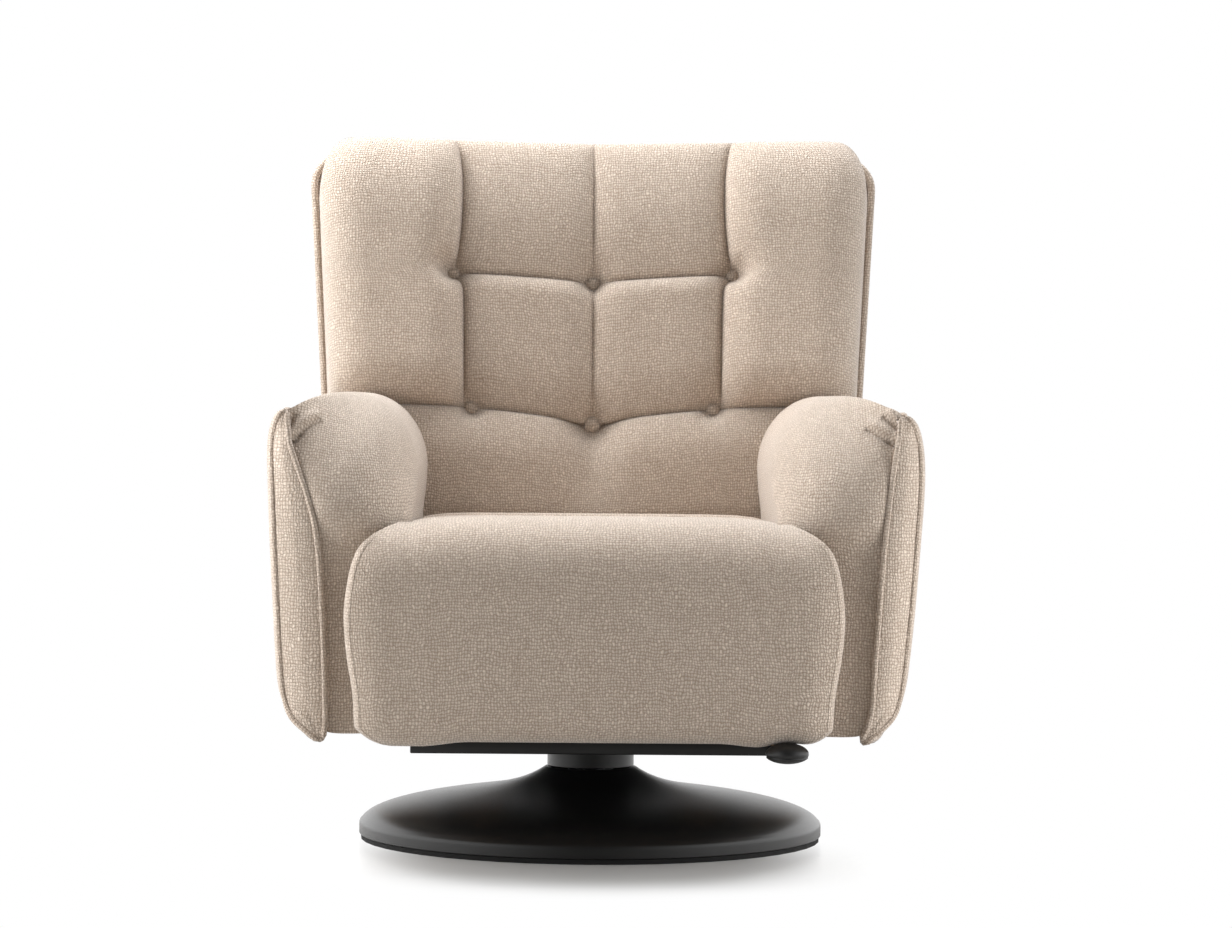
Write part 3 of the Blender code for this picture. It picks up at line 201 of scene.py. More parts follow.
def woven_cover(name, high, low, bump):
    """Round floats of yarn in uneven rows, with painted shade in the pits between them and a dry white sheen.
    """
    look, tree, surface = new_look(name)
    place = add(tree, "ShaderNodeTexCoord").outputs["UV"]
    for scale, reach in ((24.0, 3.0), (150.0, 1.2)):
        wander = noise(tree, place, scale, 2.0).outputs["Color"]
        shift = vectors(tree, "SUBTRACT", wander, (0.5, 0.5, 0.5))
        shift = add(tree, "ShaderNodeVectorMath", {0: shift, "Scale": THREAD * reach}, operation="SCALE")
        place = vectors(tree, "ADD", place, shift.outputs[0])
    count = vectors(tree, "MULTIPLY", place, (1.15 / THREAD, 1.06 / THREAD, 0))
    along = add(tree, "ShaderNodeSeparateXYZ", {0: count})
    row, column = [sums(tree, "FLOOR", along.outputs[k]) for k in (1, 0)]
    cell = add(tree, "ShaderNodeCombineXYZ", {0: column, 1: row}).outputs[0]
    slub = add(tree, "ShaderNodeTexWhiteNoise", {"Vector": cell}).outputs["Value"]
    turns = [sums(tree, "MULTIPLY", along.outputs[k], math.pi) for k in (0, 1)]
    warp, weft = [sums(tree, "ABSOLUTE", sums(tree, "SINE", turn)) for turn in turns]
    over = sums(tree, "FLOORED_MODULO", sums(tree, "ADD", row, column), 2.0)
    flat = [sums(tree, "ADD", sums(tree, "MULTIPLY", part, 0.55), 0.45) for part in (weft, warp)]
    floats = [sums(tree, "MULTIPLY", part, long) for part, long in zip((warp, weft), flat)]
    floats[1] = sums(tree, "MULTIPLY", floats[1], 0.80)
    height = add(tree, "ShaderNodeMix", {"Factor": over, "A": floats[0], "B": floats[1]}).outputs["Result"]
    height = sums(tree, "MULTIPLY", height, sums(tree, "ADD", sums(tree, "MULTIPLY", slub, 0.30), 0.80))
    fuzz = noise(tree, place, 750.0, 3.0).outputs["Fac"]
    cloud = noise(tree, place, 40.0, 4.0).outputs["Fac"]
    # Tone: painted shade where the threads are low, in the pits, mixed with random yarn tone from slub, cloud
    # and fuzz
    tone = weighed(tree, (height, 0.70), (slub, 0.08), (cloud, 0.10), (fuzz, 0.22))
    relief = weighed(tree, (height, 0.8), (fuzz, 0.5), (slub, 0.4))
    bumps = add(tree, "ShaderNodeBump", {"Height": relief, "Strength": bump, "Distance": 0.0011})
    wire(tree, surface, {"Base Color": tones(tree, tone, low, high), "Normal": bumps.outputs["Normal"],
                         "Roughness": 0.92, "Specular IOR Level": 0.25, "Sheen Weight": 0.5,
                         "Sheen Roughness": 0.45, "Sheen Tint": (1, 1, 1, 1)})
    return look


# Upholstery: coarse hopsack of thick cream yarn; its darker colour is painted shade in the pits
COVER = woven_cover("woven_cream_upholstery", "#E8D9CA", "#86705C", 0.9)
ROUGH_SWING = 0.1


def grain(name, high, low, scale, roughness, relief, metallic=0.0, stretch=(1, 1, 1)):
    """Surface with a fine even texture in object space, which its tone, roughness and relief follow."""
    look, tree, surface = new_look(name)
    place = add(tree, "ShaderNodeTexCoord").outputs["Object"]
    place = add(tree, "ShaderNodeMapping", {"Vector": place, "Scale": stretch}).outputs[0]
    speckle = noise(tree, place, scale, 3.0).outputs["Fac"]
    rough = add(tree, "ShaderNodeMapRange", {"Value": speckle, "To Min": roughness - ROUGH_SWING,
                                             "To Max": roughness + ROUGH_SWING}).outputs[0]
    bumps = add(tree, "ShaderNodeBump", {"Height": speckle, "Strength": 0.5, "Distance": relief})
    wire(tree, surface, {"Base Color": tones(tree, speckle, low, high), "Roughness": rough,
                         "Normal": bumps.outputs["Normal"], "Metallic": metallic})
    return look


# Powder coat: black polyester baked on steel, satin, with a fine orange peel
POWDER = grain("satin_black_powder_coat", "#1D1D1D", "#151515", 700.0, 0.36, 0.00006)
# Zinc plate: bluish bright steel with a slightly cloudy passivation
ZINC = grain("zinc_plated_steel", "#C9CBCE", "#A9ABAE", 60.0, 0.34, 0.00002, metallic=1.0)
# Birch plywood: pale straight grain along the board
BIRCH = grain("birch_plywood", "#D9B98C", "#B98F5E", 40.0, 0.62, 0.0002, stretch=(1, 0.08, 1))
# Moulded rubber: dull, nearly black
RUBBER = grain("moulded_black_rubber", "#1C1C1C", "#111111", 300.0, 0.85, 0.0001)
# Spark-eroded nylon moulding: black with a fine grit
PLASTIC = grain("moulded_black_nylon", "#1E1E1E", "#141414", 1500.0, 0.42, 0.00008)
# Woven elastic strap: black with ribs along its length
STRAP = grain("black_elastic_webbing", "#2B2B2B", "#161616", 500.0, 0.9, 0.0003, stretch=(0.05, 1, 1))

LOOKS = {"cover": COVER, "black_metal": POWDER, "zinc_steel": ZINC, "plywood": BIRCH, "floor_rubber": RUBBER,
         "black_plastic": PLASTIC, "webbing": STRAP}
for piece in frame["record"]["subparts"]:
    mesh = nodes[piece["node"]].data
    mesh.materials.clear()
    mesh.materials.append(LOOKS[piece["material_slot"]])


def blend(first, second, share):
    return first + (second - first) * share


def runs(points):
    """Running lengths of a grid of points along its rows and its columns, each a mean over the other way."""
    down = np.linalg.norm(np.diff(points, axis=0), axis=2).mean(axis=1)
    across = np.linalg.norm(np.diff(points, axis=1), axis=2).mean(axis=0)
    v = np.concatenate(([0.0], np.cumsum(down)))
    u = np.concatenate(([0.0], np.cumsum(across)))
    return np.stack(np.meshgrid(u, v), axis=2)


def lengths(line):
    """Running length at each point of a line."""
    return np.concatenate(([0.0], np.cumsum(np.linalg.norm(np.diff(line, axis=0), axis=1))))


def thread_map(across, along):
    """Thread map of a grid from a value at each point and a length at each row."""
    return np.stack([across, np.broadcast_to(along[:, None], across.shape)], axis=2)


def fan(loop, centre, axes):
    """Flat wall that closes a loop onto a centre, with a thread map along two axes."""
    wall = np.array([centre + (loop - centre) * share for share in (1, 0.5, 0)])
    return wall, wall[:, :, axes]


def border(grid):
    """The edge of a grid as one closed loop."""
    return np.concatenate([grid[0, :], grid[1:, -1], grid[-1, -2::-1], grid[-2:0:-1, 0]])


def skin(name, patches):
    """One closed cover from grids of points that meet edge to edge, each with a thread map or None."""
    verts, faces, maps = [], [], []
    for points, threads in patches:
        points = np.asarray(points, float)
        threads = runs(points) if threads is None else np.asarray(threads, float)
        rows, columns = points.shape[:2]
        start = len(verts)
        verts += points.reshape(-1, 3).tolist()
        flat = threads.reshape(-1, 2).tolist()
        for r in range(rows - 1):
            for c in range(columns - 1):
                here, below = r * columns + c, (r + 1) * columns + c
                corner = [here, here + 1, below + 1, below]
                faces.append([start + k for k in corner])
                maps.append([flat[k] for k in corner])
    mesh = bpy.data.meshes.new(name)
    mesh.from_pydata(verts, [], faces)
    layer = mesh.uv_layers.new(name="threads")
    layer.data.foreach_set("uv", [value for face in maps for point in face for value in point])
    bm = bmesh.new()
    bm.from_mesh(mesh)
    bmesh.ops.remove_doubles(bm, verts=bm.verts, dist=2e-5)
    bmesh.ops.dissolve_degenerate(bm, edges=bm.edges, dist=1e-6)
    bmesh.ops.recalc_face_normals(bm, faces=bm.faces)
    if bm.calc_volume(signed=True) < 0:
        bmesh.ops.reverse_faces(bm, faces=bm.faces)
    for face in bm.faces:
        face.smooth = True
    bm.to_mesh(mesh)
    bm.free()
    mesh.materials.append(LOOKS["cover"])
    obj = bpy.data.objects.new(name, mesh)
    bpy.context.scene.collection.objects.link(obj)
    return obj


def piping(name, path, radius, body):
    """Sewn welt: a round cord in cloth along a path, tapered shut at its ends."""
    path = np.asarray(path, float)
    tangent = np.gradient(path, axis=0)
    tangent /= np.linalg.norm(tangent, axis=1)[:, None]
    side = np.cross(tangent[0], (0.3, 0.9, 0.31))
    rows = []
    for k, along in enumerate(tangent):
        side = side - along * side.dot(along)
        side /= np.linalg.norm(side)
        rise = np.cross(along, side)
        end = min(k, len(path) - 1 - k)
        size = radius * min(1.0, 0.001 + end * 0.5)
        ring = [path[k] + size * (math.cos(t) * side + math.sin(t) * rise)
                for t in np.linspace(0, 2 * math.pi, WELT_SIDES + 1)]
        rows.append(ring)
    obj = skin(name, [(np.array(rows), None)])
    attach(obj, body)


def smooth_path(points, count):
    """Evenly spaced points on a Catmull-Rom line through the given ones."""
    points = np.asarray(points, float)
    ends = np.vstack([2 * points[0] - points[1], points, 2 * points[-1] - points[-2]])
    dense = []
    for k in range(len(points) - 1):
        p0, p1, p2, p3 = ends[k:k + 4]
        for t in np.linspace(0, 1, 16, endpoint=False):
            dense.append(0.5 * (2 * p1 + (p2 - p0) * t + (2 * p0 - 5 * p1 + 4 * p2 - p3) * t ** 2
                                + (3 * p1 - p0 - 3 * p2 + p3) * t ** 3))
    dense.append(points[-1])
    dense = np.array(dense)
    run = lengths(dense)
    at = np.linspace(0, run[-1], count)
    return np.stack([np.interp(at, run, dense[:, k]) for k in range(points.shape[1])], axis=1)


def start_by_hand():
    if bpy.context.mode != "OBJECT":
        bpy.ops.object.mode_set(mode="OBJECT")
    bpy.ops.object.select_all(action="DESELECT")


# The back
def leaned(x, depth, up):
    """Point of the back, given along its own lean."""
    sine, cosine = math.sin(BACK_LEAN), math.cos(BACK_LEAN)
    return (x, BACK_PIVOT_Y + depth * cosine + up * sine, BACK_PIVOT_Z - depth * sine + up * cosine)


def back_half_width(up, corner, height):
    width = blend(BACK_FOOT_HALF, BACK_TOP_HALF, (up - BACK_FOOT) / (BACK_TOP - BACK_FOOT))
    over = min(1.0, max(0.0, (up - BACK_TOP) / height + 1))
    return width - corner * (1 - math.sqrt(1 - over ** 2))


# Seam between wing and middle as (height on the back, distance from the middle)
SEAM_LINE = ((BACK_FOOT, 0.172), (0.200, 0.173), (ROW_LOW, 0.1745), (0.330, 0.1750), (0.400, 0.1755),
             (0.440, 0.1775), (ROW_HIGH, 0.1895), (0.495, 0.1840), (0.535, 0.1800), (0.590, 0.1795),
             (0.630, 0.1840), (BACK_TOP, 0.1900))


def seam_x(up):
    line = smooth_path(SEAM_LINE, 200)
    return float(np.interp(up, line[:, 0], line[:, 1]))


def row_sag(share, up):
    """Drop of the sewn rows towards the middle; share runs from the middle to the outer buttons."""
    sag = np.interp(up, (BACK_FOOT, ROW_LOW, ROW_HIGH, BACK_TOP), (0, ROW_LOW_SAG, ROW_HIGH_SAG, 0))
    return max(0.0, 1 - share) * float(sag)


def button_places():
    rows = ((ROW_HIGH, TUFT_HIGH_X), (ROW_LOW, TUFT_LOW_X))
    return [(share * x, up) for up, x in rows for share in (-1, 0, 1)]


def eased(count):
    """Shares from 0 to 1 that crowd towards both ends."""
    return [(1 - math.cos(math.pi * k / count)) / 2 for k in range(count + 1)]


BACK_INSET = 0.010
WING_CROWN = 0.060
MIDDLE_CROWN = 0.036
LUMBAR_CROWN = 0.046
LUMBAR_HOLLOW = 0.030
BACK_WRAP = 0.065
TOP_ROUND = 0.125
SIDE_ROUND = 0.065
CREASE_W = 0.008
DIMPLE_DEPTH = 0.006
DIMPLE_R = 0.036
BUTTON_HOLD_R = 0.0150
BUTTON_SINK = 0.004


def pull(gap, drop, width):
    """Share of its fullness that a pillow keeps at a gap from a seam: a soft shoulder and a sharp crease."""
    soft = max(0.0, 1 - gap / width) ** 2.4
    sharp = max(0.0, 1 - gap / CREASE_W) ** 1.5
    return 1 - drop * (0.72 * soft + 0.28 * sharp)


def rounded(gap, reach):
    """Quarter round from 0 at the edge to 1 at reach."""
    return math.sqrt(max(0.0, 1 - (1 - min(1.0, gap / reach)) ** 2))


def pillow_depth(side, up, half, seam):
    """Swell of the tufted face at a point on the back's axes."""
    top = rounded(BACK_TOP - up, TOP_ROUND)
    edge = rounded(half - side, SIDE_ROUND)
    if up < ROW_LOW:
        rise = (up - BACK_FOOT) / (ROW_LOW - BACK_FOOT)
        hollow = LUMBAR_HOLLOW * math.exp(-(side / 0.034) ** 2) * rise ** 1.5
        return LUMBAR_CROWN * edge * rounded(up - BACK_FOOT, 0.06) * pull(ROW_LOW - up, 0.72, 0.085) - hollow
    if side > seam:
        return WING_CROWN * top * edge * pull(side - seam, 0.692, 0.058) * pull(up - ROW_LOW, 0.66, 0.060)
    full = MIDDLE_CROWN * pull(side, 0.40, 0.050) * pull(seam - side, 0.487, 0.060)
    if up > ROW_HIGH:
        return full * top * pull(up - ROW_HIGH, 0.62, 0.110)
    step = 0.80 + 0.35 * (up - ROW_LOW) / (ROW_HIGH - ROW_LOW)
    return full * step * pull(ROW_HIGH - up, 0.67, 0.030) * pull(up - ROW_LOW, 0.62, 0.070)


def wrap_depth(side, up):
    """How far the back comes forward towards its sides, so that it is slightly hollow across."""
    return BACK_WRAP * side * min(1.0, max(0.0, (up - BACK_FOOT) / (ROW_LOW - BACK_FOOT)))


def tufted_face():
    """Grid over the back's front: four pillows between two tall wings, and a low cushion at the foot."""
    wing, middle = 40, 40
    stretches = (36, 42, 44)
    shares = [(first, share) for first, count in enumerate(stretches) for share in eased(count)[:-1]]
    shares.append((len(stretches) - 1, 1.0))
    across = [-1 - share for share in eased(wing)[:0:-1]] + [-share for share in eased(middle)[:0:-1]]
    across += [share for share in eased(middle)] + [1 + share for share in eased(wing)[1:]]
    buttons = button_places()
    ups = (BACK_FOOT, ROW_LOW, ROW_HIGH, BACK_TOP)
    grid = []
    for row, share in shares:
        up = blend(ups[row], ups[row + 1], share)
        half, seam = back_half_width(up, FACE_CORNER_W, FACE_CORNER_H) - BACK_INSET, seam_x(up)
        line = []
        for place in across:
            size = abs(place)
            side = seam * size if size <= 1 else blend(seam, half, size - 1)
            x = math.copysign(side, place)
            depth = BACK_EDGE_T + pillow_depth(side, up, half, seam) + wrap_depth(side, up)
            for bx, bz in buttons:
                gap = math.hypot(x - bx, up - bz)
                depth -= DIMPLE_DEPTH * math.exp(-(gap / DIMPLE_R) ** 2)
                hold = math.exp(-(gap / BUTTON_HOLD_R) ** 2)
                depth = blend(depth, BUTTON_DEPTH + BUTTON_SINK + wrap_depth(abs(bx), bz), hold)
            line.append((x, -depth, up - row_sag(min(1.0, size), up)))
        grid.append(line)
    return np.array(grid)


def rim_loop(grid):
    """The grid's border as one closed loop, with the way out from the grid at each point, in x and up."""
    loop = border(grid)
    flat = loop[:, [0, 2]]
    ahead = np.roll(flat, -1, axis=0) - np.roll(flat, 1, axis=0)
    out = np.stack([ahead[:, 1], -ahead[:, 0]], axis=1)
    out /= np.linalg.norm(out, axis=1)[:, None]
    for _ in range(3):
        out = (np.roll(out, 1, axis=0) + out + np.roll(out, -1, axis=0)) / 3
    return loop, out


def ringed(grid, rings, hub_depth):
    """Grid on the back's axes, and a second one round its border by rings of (depth, growth), closed flat."""
    loop, out = rim_loop(grid)
    rows = [loop]
    for depth, growth in rings:
        row = loop.copy()
        row[:, [0, 2]] += out * growth
        row[:, 1] = depth
        rows.append(row)
    for share in (0.7, 0.35, 0.0):
        row = rows[len(rings)].copy()
        row[:, 0] *= share
        row[:, 2] = BACK_MIDDLE + (row[:, 2] - BACK_MIDDLE) * share
        row[:, 1] = hub_depth
        rows.append(row)
    rows = np.array(rows)
    return grid, np.concatenate([rows, rows[:, :1]], axis=1)


def on_back(grids):
    """Patches for a skin from grids on the back's axes."""
    return [(np.stack(leaned(*grid.transpose(2, 0, 1)), axis=2), runs(grid)) for grid in grids]


PANEL_COLUMNS = 60
PANEL_INSET = 0.030
PANEL_DEPTH = 0.0335
PANEL_PUFF = 0.0055
PANEL_SHARE = 0.90
BACK_WELT_OUT = 0.0310
BACK_WELT_DEPTH = -0.0435


def make_back():
    face = tufted_face()
    rings = ((-0.104, 0.0025), (-0.096, 0.0042), (-0.086, 0.0050), (-0.075, 0.0048), (-0.065, 0.0030),
             (-0.056, -0.0010), (-0.050, -0.0060), (-0.047, -0.0120))
    cushion = skin("tufted_back_cushion", on_back(ringed(face, rings, -0.047)))
    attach(cushion, "back")
    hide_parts("back_cushion")

    panel = []
    for rise in eased(50):
        up = blend(BACK_FOOT, BACK_TOP, rise)
        half = back_half_width(up, PANEL_CORNER_W, PANEL_CORNER_H) - PANEL_INSET
        level = abs(2 * (up - BACK_FOOT) / (BACK_TOP - BACK_FOOT) - 1)
        z = BACK_MIDDLE + (up - BACK_MIDDLE) * PANEL_SHARE
        line = []
        for place in eased(PANEL_COLUMNS):
            share = 2 * place - 1
            crown = (1 - abs(share) ** 4) * (1 - level ** 4)
            line.append((share * half, PANEL_DEPTH + PANEL_PUFF * crown, z))
        panel.append(line)
    panel = np.array(panel)
    rings = ((0.0325, 0.0060), (0.0290, 0.0130), (0.0230, 0.0195), (0.0150, 0.0240), (0.0050, 0.0265),
             (-0.0100, 0.0280), (-0.0250, 0.0290), (-0.0360, 0.0285), (-0.0410, 0.0260), (-0.0440, 0.0180))
    shell = skin("back_rear_cover", on_back(ringed(panel, rings, -0.044)))
    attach(shell, "back")
    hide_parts("back_rear_panel")

    loop, out = rim_loop(panel)
    edge = (loop[:, [0, 2]] + out * BACK_WELT_OUT)[PANEL_COLUMNS + 3:-2]
    path = smooth_path(edge, 300)
    piping("back_edge_welt", [leaned(x, BACK_WELT_DEPTH, up) for x, up in path], 0.0052, "back")

    for k, (x, row) in enumerate(button_places()):
        make_button(k + 1, x, row - row_sag(1.0 if x else 0.0, row))


def make_button(number, x, up):
    """Covered button: a low dome with a turned-in edge and folds where its cloth is gathered."""
    rows = []
    profile = ((0.0, 1.00), (0.18, 0.99), (0.38, 0.94), (0.58, 0.85), (0.76, 0.70), (0.90, 0.50),
               (0.985, 0.28), (1.0, 0.12), (0.93, 0.0), (0.5, -0.05), (0.0, -0.05))
    steps = 40
    depth = BUTTON_DEPTH + wrap_depth(abs(x), up)
    for share, height in profile:
        ring = []
        for k in range(steps + 1):
            turn = 2 * math.pi * k / steps
            fold = 1 + 0.02 * share ** 4 * math.cos(11 * turn + number)
            radius = BUTTON_R * share * fold
            ring.append(leaned(x + radius * math.cos(turn), -depth - BUTTON_DOME * height,
                               up + radius * math.sin(turn)))
        rows.append(ring)
    rows = np.array(rows)
    threads = rows[:, :, [0, 2]]
    button = skin(f"covered_button_{number}", [(rows, threads)])
    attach(button, "back")
    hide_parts(f"back_button_{number}")


make_back()


# The seat: a top cushion between the arms, and a front block that rolls over the edge and hangs down
def seat_top(x, y):
    fall = SEAT_FALL * ((y - SEAT_CREST_Y) / (SEAT_REAR_Y - SEAT_CREST_Y)) ** 2
    return SEAT_TOP_Z - fall - SEAT_EDGE_DROP * min(1.0, abs(x) / SEAT_HALF) ** 10


SEAM_DIP = 0.006
SEAM_ROUND = 0.02
REAR_DIP = 0.028
REAR_ROUND = 0.03
SEAT_HUB_Y = -0.06


def make_seat_top():
    xs = SEAT_HALF * np.array([2 * share - 1 for share in eased(56)])
    ys = np.linspace(SEAT_SEAM_Y + 0.002, SEAT_REAR_Y, 70)
    top = []
    for y in ys:
        dip = SEAM_DIP * (1 - rounded(y - ys[0], SEAM_ROUND)) + REAR_DIP * (1 - rounded(ys[-1] - y, REAR_ROUND))
        top.append([(x, y, seat_top(x, y) - dip) for x in xs])
    top = np.array(top)
    loop = border(top)
    rows = [loop]
    for share in (0.25, 0.5, 0.75, 1.0):
        row = loop.copy()
        row[:, 2] = loop[:, 2] * (1 - share) + SEAT_FOAM_Z * share
        rows.append(row)
    for share in (0.6, 0.0):
        row = rows[4].copy()
        row[:, 0] *= share
        row[:, 1] = SEAT_HUB_Y + (row[:, 1] - SEAT_HUB_Y) * share
        rows.append(row)
    rows = np.array(rows)
    rows = np.concatenate([rows, rows[:, :1]], axis=1)
    cushion = skin("seat_top_cushion", [(top, None), (rows, None)])
    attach(cushion, "chassis")
    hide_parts("seat_cushion")


def block_half(z):
    line = smooth_path(BLOCK_SIDE, 120)
    return np.interp(z, line[:, 0], line[:, 1])


def block_foot(x):
    """Bottom of the block, which hangs lower in two lobes near its corners."""
    share = min(1.0, max(0.0, (abs(x) - 0.15) / 0.06))
    return blend(BLOCK_FOOT_Z, BLOCK_LOBE_Z, share * share * (3 - 2 * share))


EAR_TURN = math.acos(((ROLL_Y - BLOCK_BACK_Y) / ROLL_R) ** (ROLL_POWER / 2))
BLOCK_MIDDLE_Y = (SEAT_FRONT_Y + BLOCK_BACK_Y) / 2
FOOT_ROUND = 0.027
HEEL_ROUND = 0.012
BLOCK_SWELL = 0.005
TOP_STEPS = 14
EAR_START = TOP_STEPS + 5


def block_front(x):
    """Line over the block at x: along the seat top, over the roll, down the front and under to its middle."""
    foot = block_foot(x)
    points = []
    for k in range(TOP_STEPS):
        y = blend(SEAT_SEAM_Y, ROLL_Y, k / TOP_STEPS)
        points.append((y, seat_top(x, y) - SEAM_DIP * (1 - rounded(y - SEAT_SEAM_Y, SEAM_ROUND))))
    edge = seat_top(x, ROLL_Y) - ROLL_Z
    for turn in (*np.linspace(math.pi / 2, EAR_TURN, 12), *np.linspace(EAR_TURN, 0, 26)[1:]):
        points.append((ROLL_Y - ROLL_R * abs(math.cos(turn)) ** (2 / ROLL_POWER),
                       ROLL_Z + edge * abs(math.sin(turn)) ** (2 / ROLL_POWER)))
    low = foot + FOOT_ROUND
    for k in range(1, 41):
        z = blend(ROLL_Z, low, k / 40)
        swell = BLOCK_SWELL * (1 - (x / BLOCK_HALF) ** 2) * math.sin(math.pi * (z - low) / (ROLL_Z - low))
        points.append((SEAT_FRONT_Y - swell, z))
    for k in range(1, 15):
        turn = math.pi / 2 * k / 14
        points.append((blend(BLOCK_MIDDLE_Y, SEAT_FRONT_Y, math.cos(turn)),
                       low - FOOT_ROUND * math.sin(turn)))
    return points


def block_heel(x, top, count):
    """Line from the middle of the block's foot round its heel and up its back to a height."""
    foot = block_foot(x)
    points = [(blend(BLOCK_MIDDLE_Y, BLOCK_BACK_Y - HEEL_ROUND, k / 4), foot) for k in range(1, 5)]
    for k in range(1, 7):
        turn = math.pi / 2 * k / 6
        points.append((BLOCK_BACK_Y - HEEL_ROUND * (1 - math.sin(turn)),
                       foot + HEEL_ROUND * (1 - math.cos(turn))))
    return points + [(BLOCK_BACK_Y, blend(foot + HEEL_ROUND, top, k / count)) for k in range(1, count + 1)]


def block_core():
    """The block between the arms' inner sides, open at both ends."""
    xs = [SEAT_HALF * share for share in np.linspace(-1, 1, 81)]
    notch = [(HINGE_Y + 0.010, HINGE_Z - 0.016), (HINGE_Y + 0.014, HINGE_Z - 0.010), (HINGE_Y + 0.030, 0.384),
             (-0.345, 0.370), (-0.325, 0.358), (-0.300, SEAT_FOAM_Z), (-0.270, SEAT_FOAM_Z),
             (SEAT_SEAM_Y, SEAT_FOAM_Z), (SEAT_SEAM_Y, 0.372), (SEAT_SEAM_Y, 0.392)]
    rows = []
    for x in xs:
        line = block_front(x) + block_heel(x, 0.362, 16) + notch
        line.append(line[0])
        rows.append([(x, y, z) for y, z in line])
    return np.array(rows).transpose(1, 0, 2)


def block_ear(sign, middle_runs):
    """One end of the block in front of the arm: the front panel's end, its boxing strip and the back."""
    front = np.array(block_front(SEAT_HALF)[EAR_START:])
    heel = block_heel(SEAT_HALF, front[0, 1] - 0.008, 34)
    heel = np.array([(BLOCK_MIDDLE_Y, block_foot(SEAT_HALF))] + heel + [tuple(front[0])])
    patches = []
    panel = [math.sin(math.pi / 2 * share) for share in np.linspace(0, 1, 22)]
    for line, face in ((front, True), (heel, False)):
        depth, height = line[:, 0], line[:, 1]
        half = block_half(height)
        if face:
            middle = np.maximum(BLOCK_MIDDLE_Y, depth)
        else:
            reach = np.interp(-height, -front[:, 1], front[:, 0])
            middle = np.minimum(np.maximum(BLOCK_MIDDLE_Y, reach), depth)
        seam = np.maximum(half - BOXING_W, SEAT_HALF + 0.6 * (half - SEAT_HALF))
        columns = []
        for share in panel:
            edge = 0.008 * max(0.0, (share - 0.45) / 0.55) ** 2
            y = depth + (middle - depth) * edge / 0.03
            columns.append(np.stack([blend(SEAT_HALF, seam, share), y, height], axis=1))
        start = columns[-1][:, 1]
        for turn in np.linspace(0, math.pi / 2, 13)[1:]:
            sink = 0.0007 if face and turn < 0.2 else 0.0
            x = seam + (half - seam) * math.sin(turn)
            y = start + (middle - start) * (1 - math.cos(turn)) + sink
            columns.append(np.stack([x, y, height], axis=1))
        grid = np.stack(columns, axis=1)
        steps = np.linalg.norm(np.diff(grid, axis=1), axis=2)
        across = np.concatenate([np.zeros((len(line), 1)), np.cumsum(steps, axis=1)], axis=1)
        along = middle_runs[:len(line)] if face else middle_runs[len(front) - 1] + lengths(line)
        patches.append((grid * np.array([sign, 1, 1]), thread_map(sign * (SEAT_HALF + across), along)))
    loop = np.concatenate([patches[0][0][:, 0], patches[1][0][1:, 0]])
    return patches + [fan(loop, loop.mean(axis=0), [1, 2])]


# Hollow in the block's foot over the paddle
THUMB_ROOM = 0.008
THUMB_ROOM_Z = 0.20


def make_front_block():
    core = block_core()
    along = lengths(core[:, 40])
    threads = thread_map(core[:, :, 0], along)
    walls = [fan(end, np.array([end[0, 0], -0.36, 0.40]), [1, 2]) for end in (core[:, 0], core[:, -1])]
    block = skin("seat_front_block", [(core, threads)] + walls)
    ears = [skin(f"block_ear_{sign}", block_ear(sign, along[EAR_START:])) for sign in (-1, 1)]
    start_by_hand()
    for obj in [block] + ears:
        obj.select_set(True)
    bpy.context.view_layer.objects.active = block
    bpy.ops.object.join()
    for vert in block.data.vertices:
        x, y, z = vert.co
        if y < BLOCK_BACK_Y + 0.005 and z < THUMB_ROOM_Z:
            away = ((x - PADDLE_X) / 0.026) ** 2 + ((y - PADDLE_Y) / 0.036) ** 2
            vert.co.z += THUMB_ROOM * math.exp(-away) * min(1.0, (THUMB_ROOM_Z - z) / 0.035)
    bpy.ops.object.shade_smooth_by_angle(angle=math.radians(40))
    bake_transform(block)
    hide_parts("footrest_pad")


make_seat_top()
make_front_block()

# The arms: front welt lines on the left and on the right, from the top down, as (x outwards, height)
INNER_WELT = {
    -1: ((0.3773, 0.5576), (0.3751, 0.5358), (0.3720, 0.5147), (0.3604, 0.4832), (0.3499, 0.4548),
         (0.3412, 0.4250), (0.3357, 0.3952), (0.3323, 0.3593), (0.3299, 0.3233), (0.3278, 0.2873),
         (0.3263, 0.2512), (0.3251, 0.2152), (0.3246, 0.1851), (0.3259, 0.1580)),
    1: ((0.3737, 0.5559), (0.3711, 0.5332), (0.3652, 0.4999), (0.3600, 0.4668), (0.3555, 0.4338),
        (0.3514, 0.4009), (0.3479, 0.3619), (0.3452, 0.3258), (0.3431, 0.2927), (0.3409, 0.2626),
        (0.3391, 0.2325), (0.3376, 0.2054), (0.3327, 0.1812), (0.3230, 0.1601)),
}
OUTER_WELT = {
    -1: ((0.3788, 0.5594), (0.3875, 0.5478), (0.3936, 0.5295), (0.3952, 0.5053), (0.3928, 0.4602),
         (0.3898, 0.4123), (0.3869, 0.3643), (0.3841, 0.3162), (0.3813, 0.2680), (0.3783, 0.2289),
         (0.3742, 0.2048), (0.3654, 0.1853), (0.3478, 0.1694), (0.3297, 0.1560)),
    1: ((0.3778, 0.5574), (0.3891, 0.5448), (0.3962, 0.5212), (0.3980, 0.4909), (0.3963, 0.4548),
        (0.3918, 0.4068), (0.3879, 0.3587), (0.3846, 0.3164), (0.3811, 0.2802), (0.3772, 0.2439),
        (0.3726, 0.2137), (0.3653, 0.1925), (0.3474, 0.1736), (0.3264, 0.1566)),
}
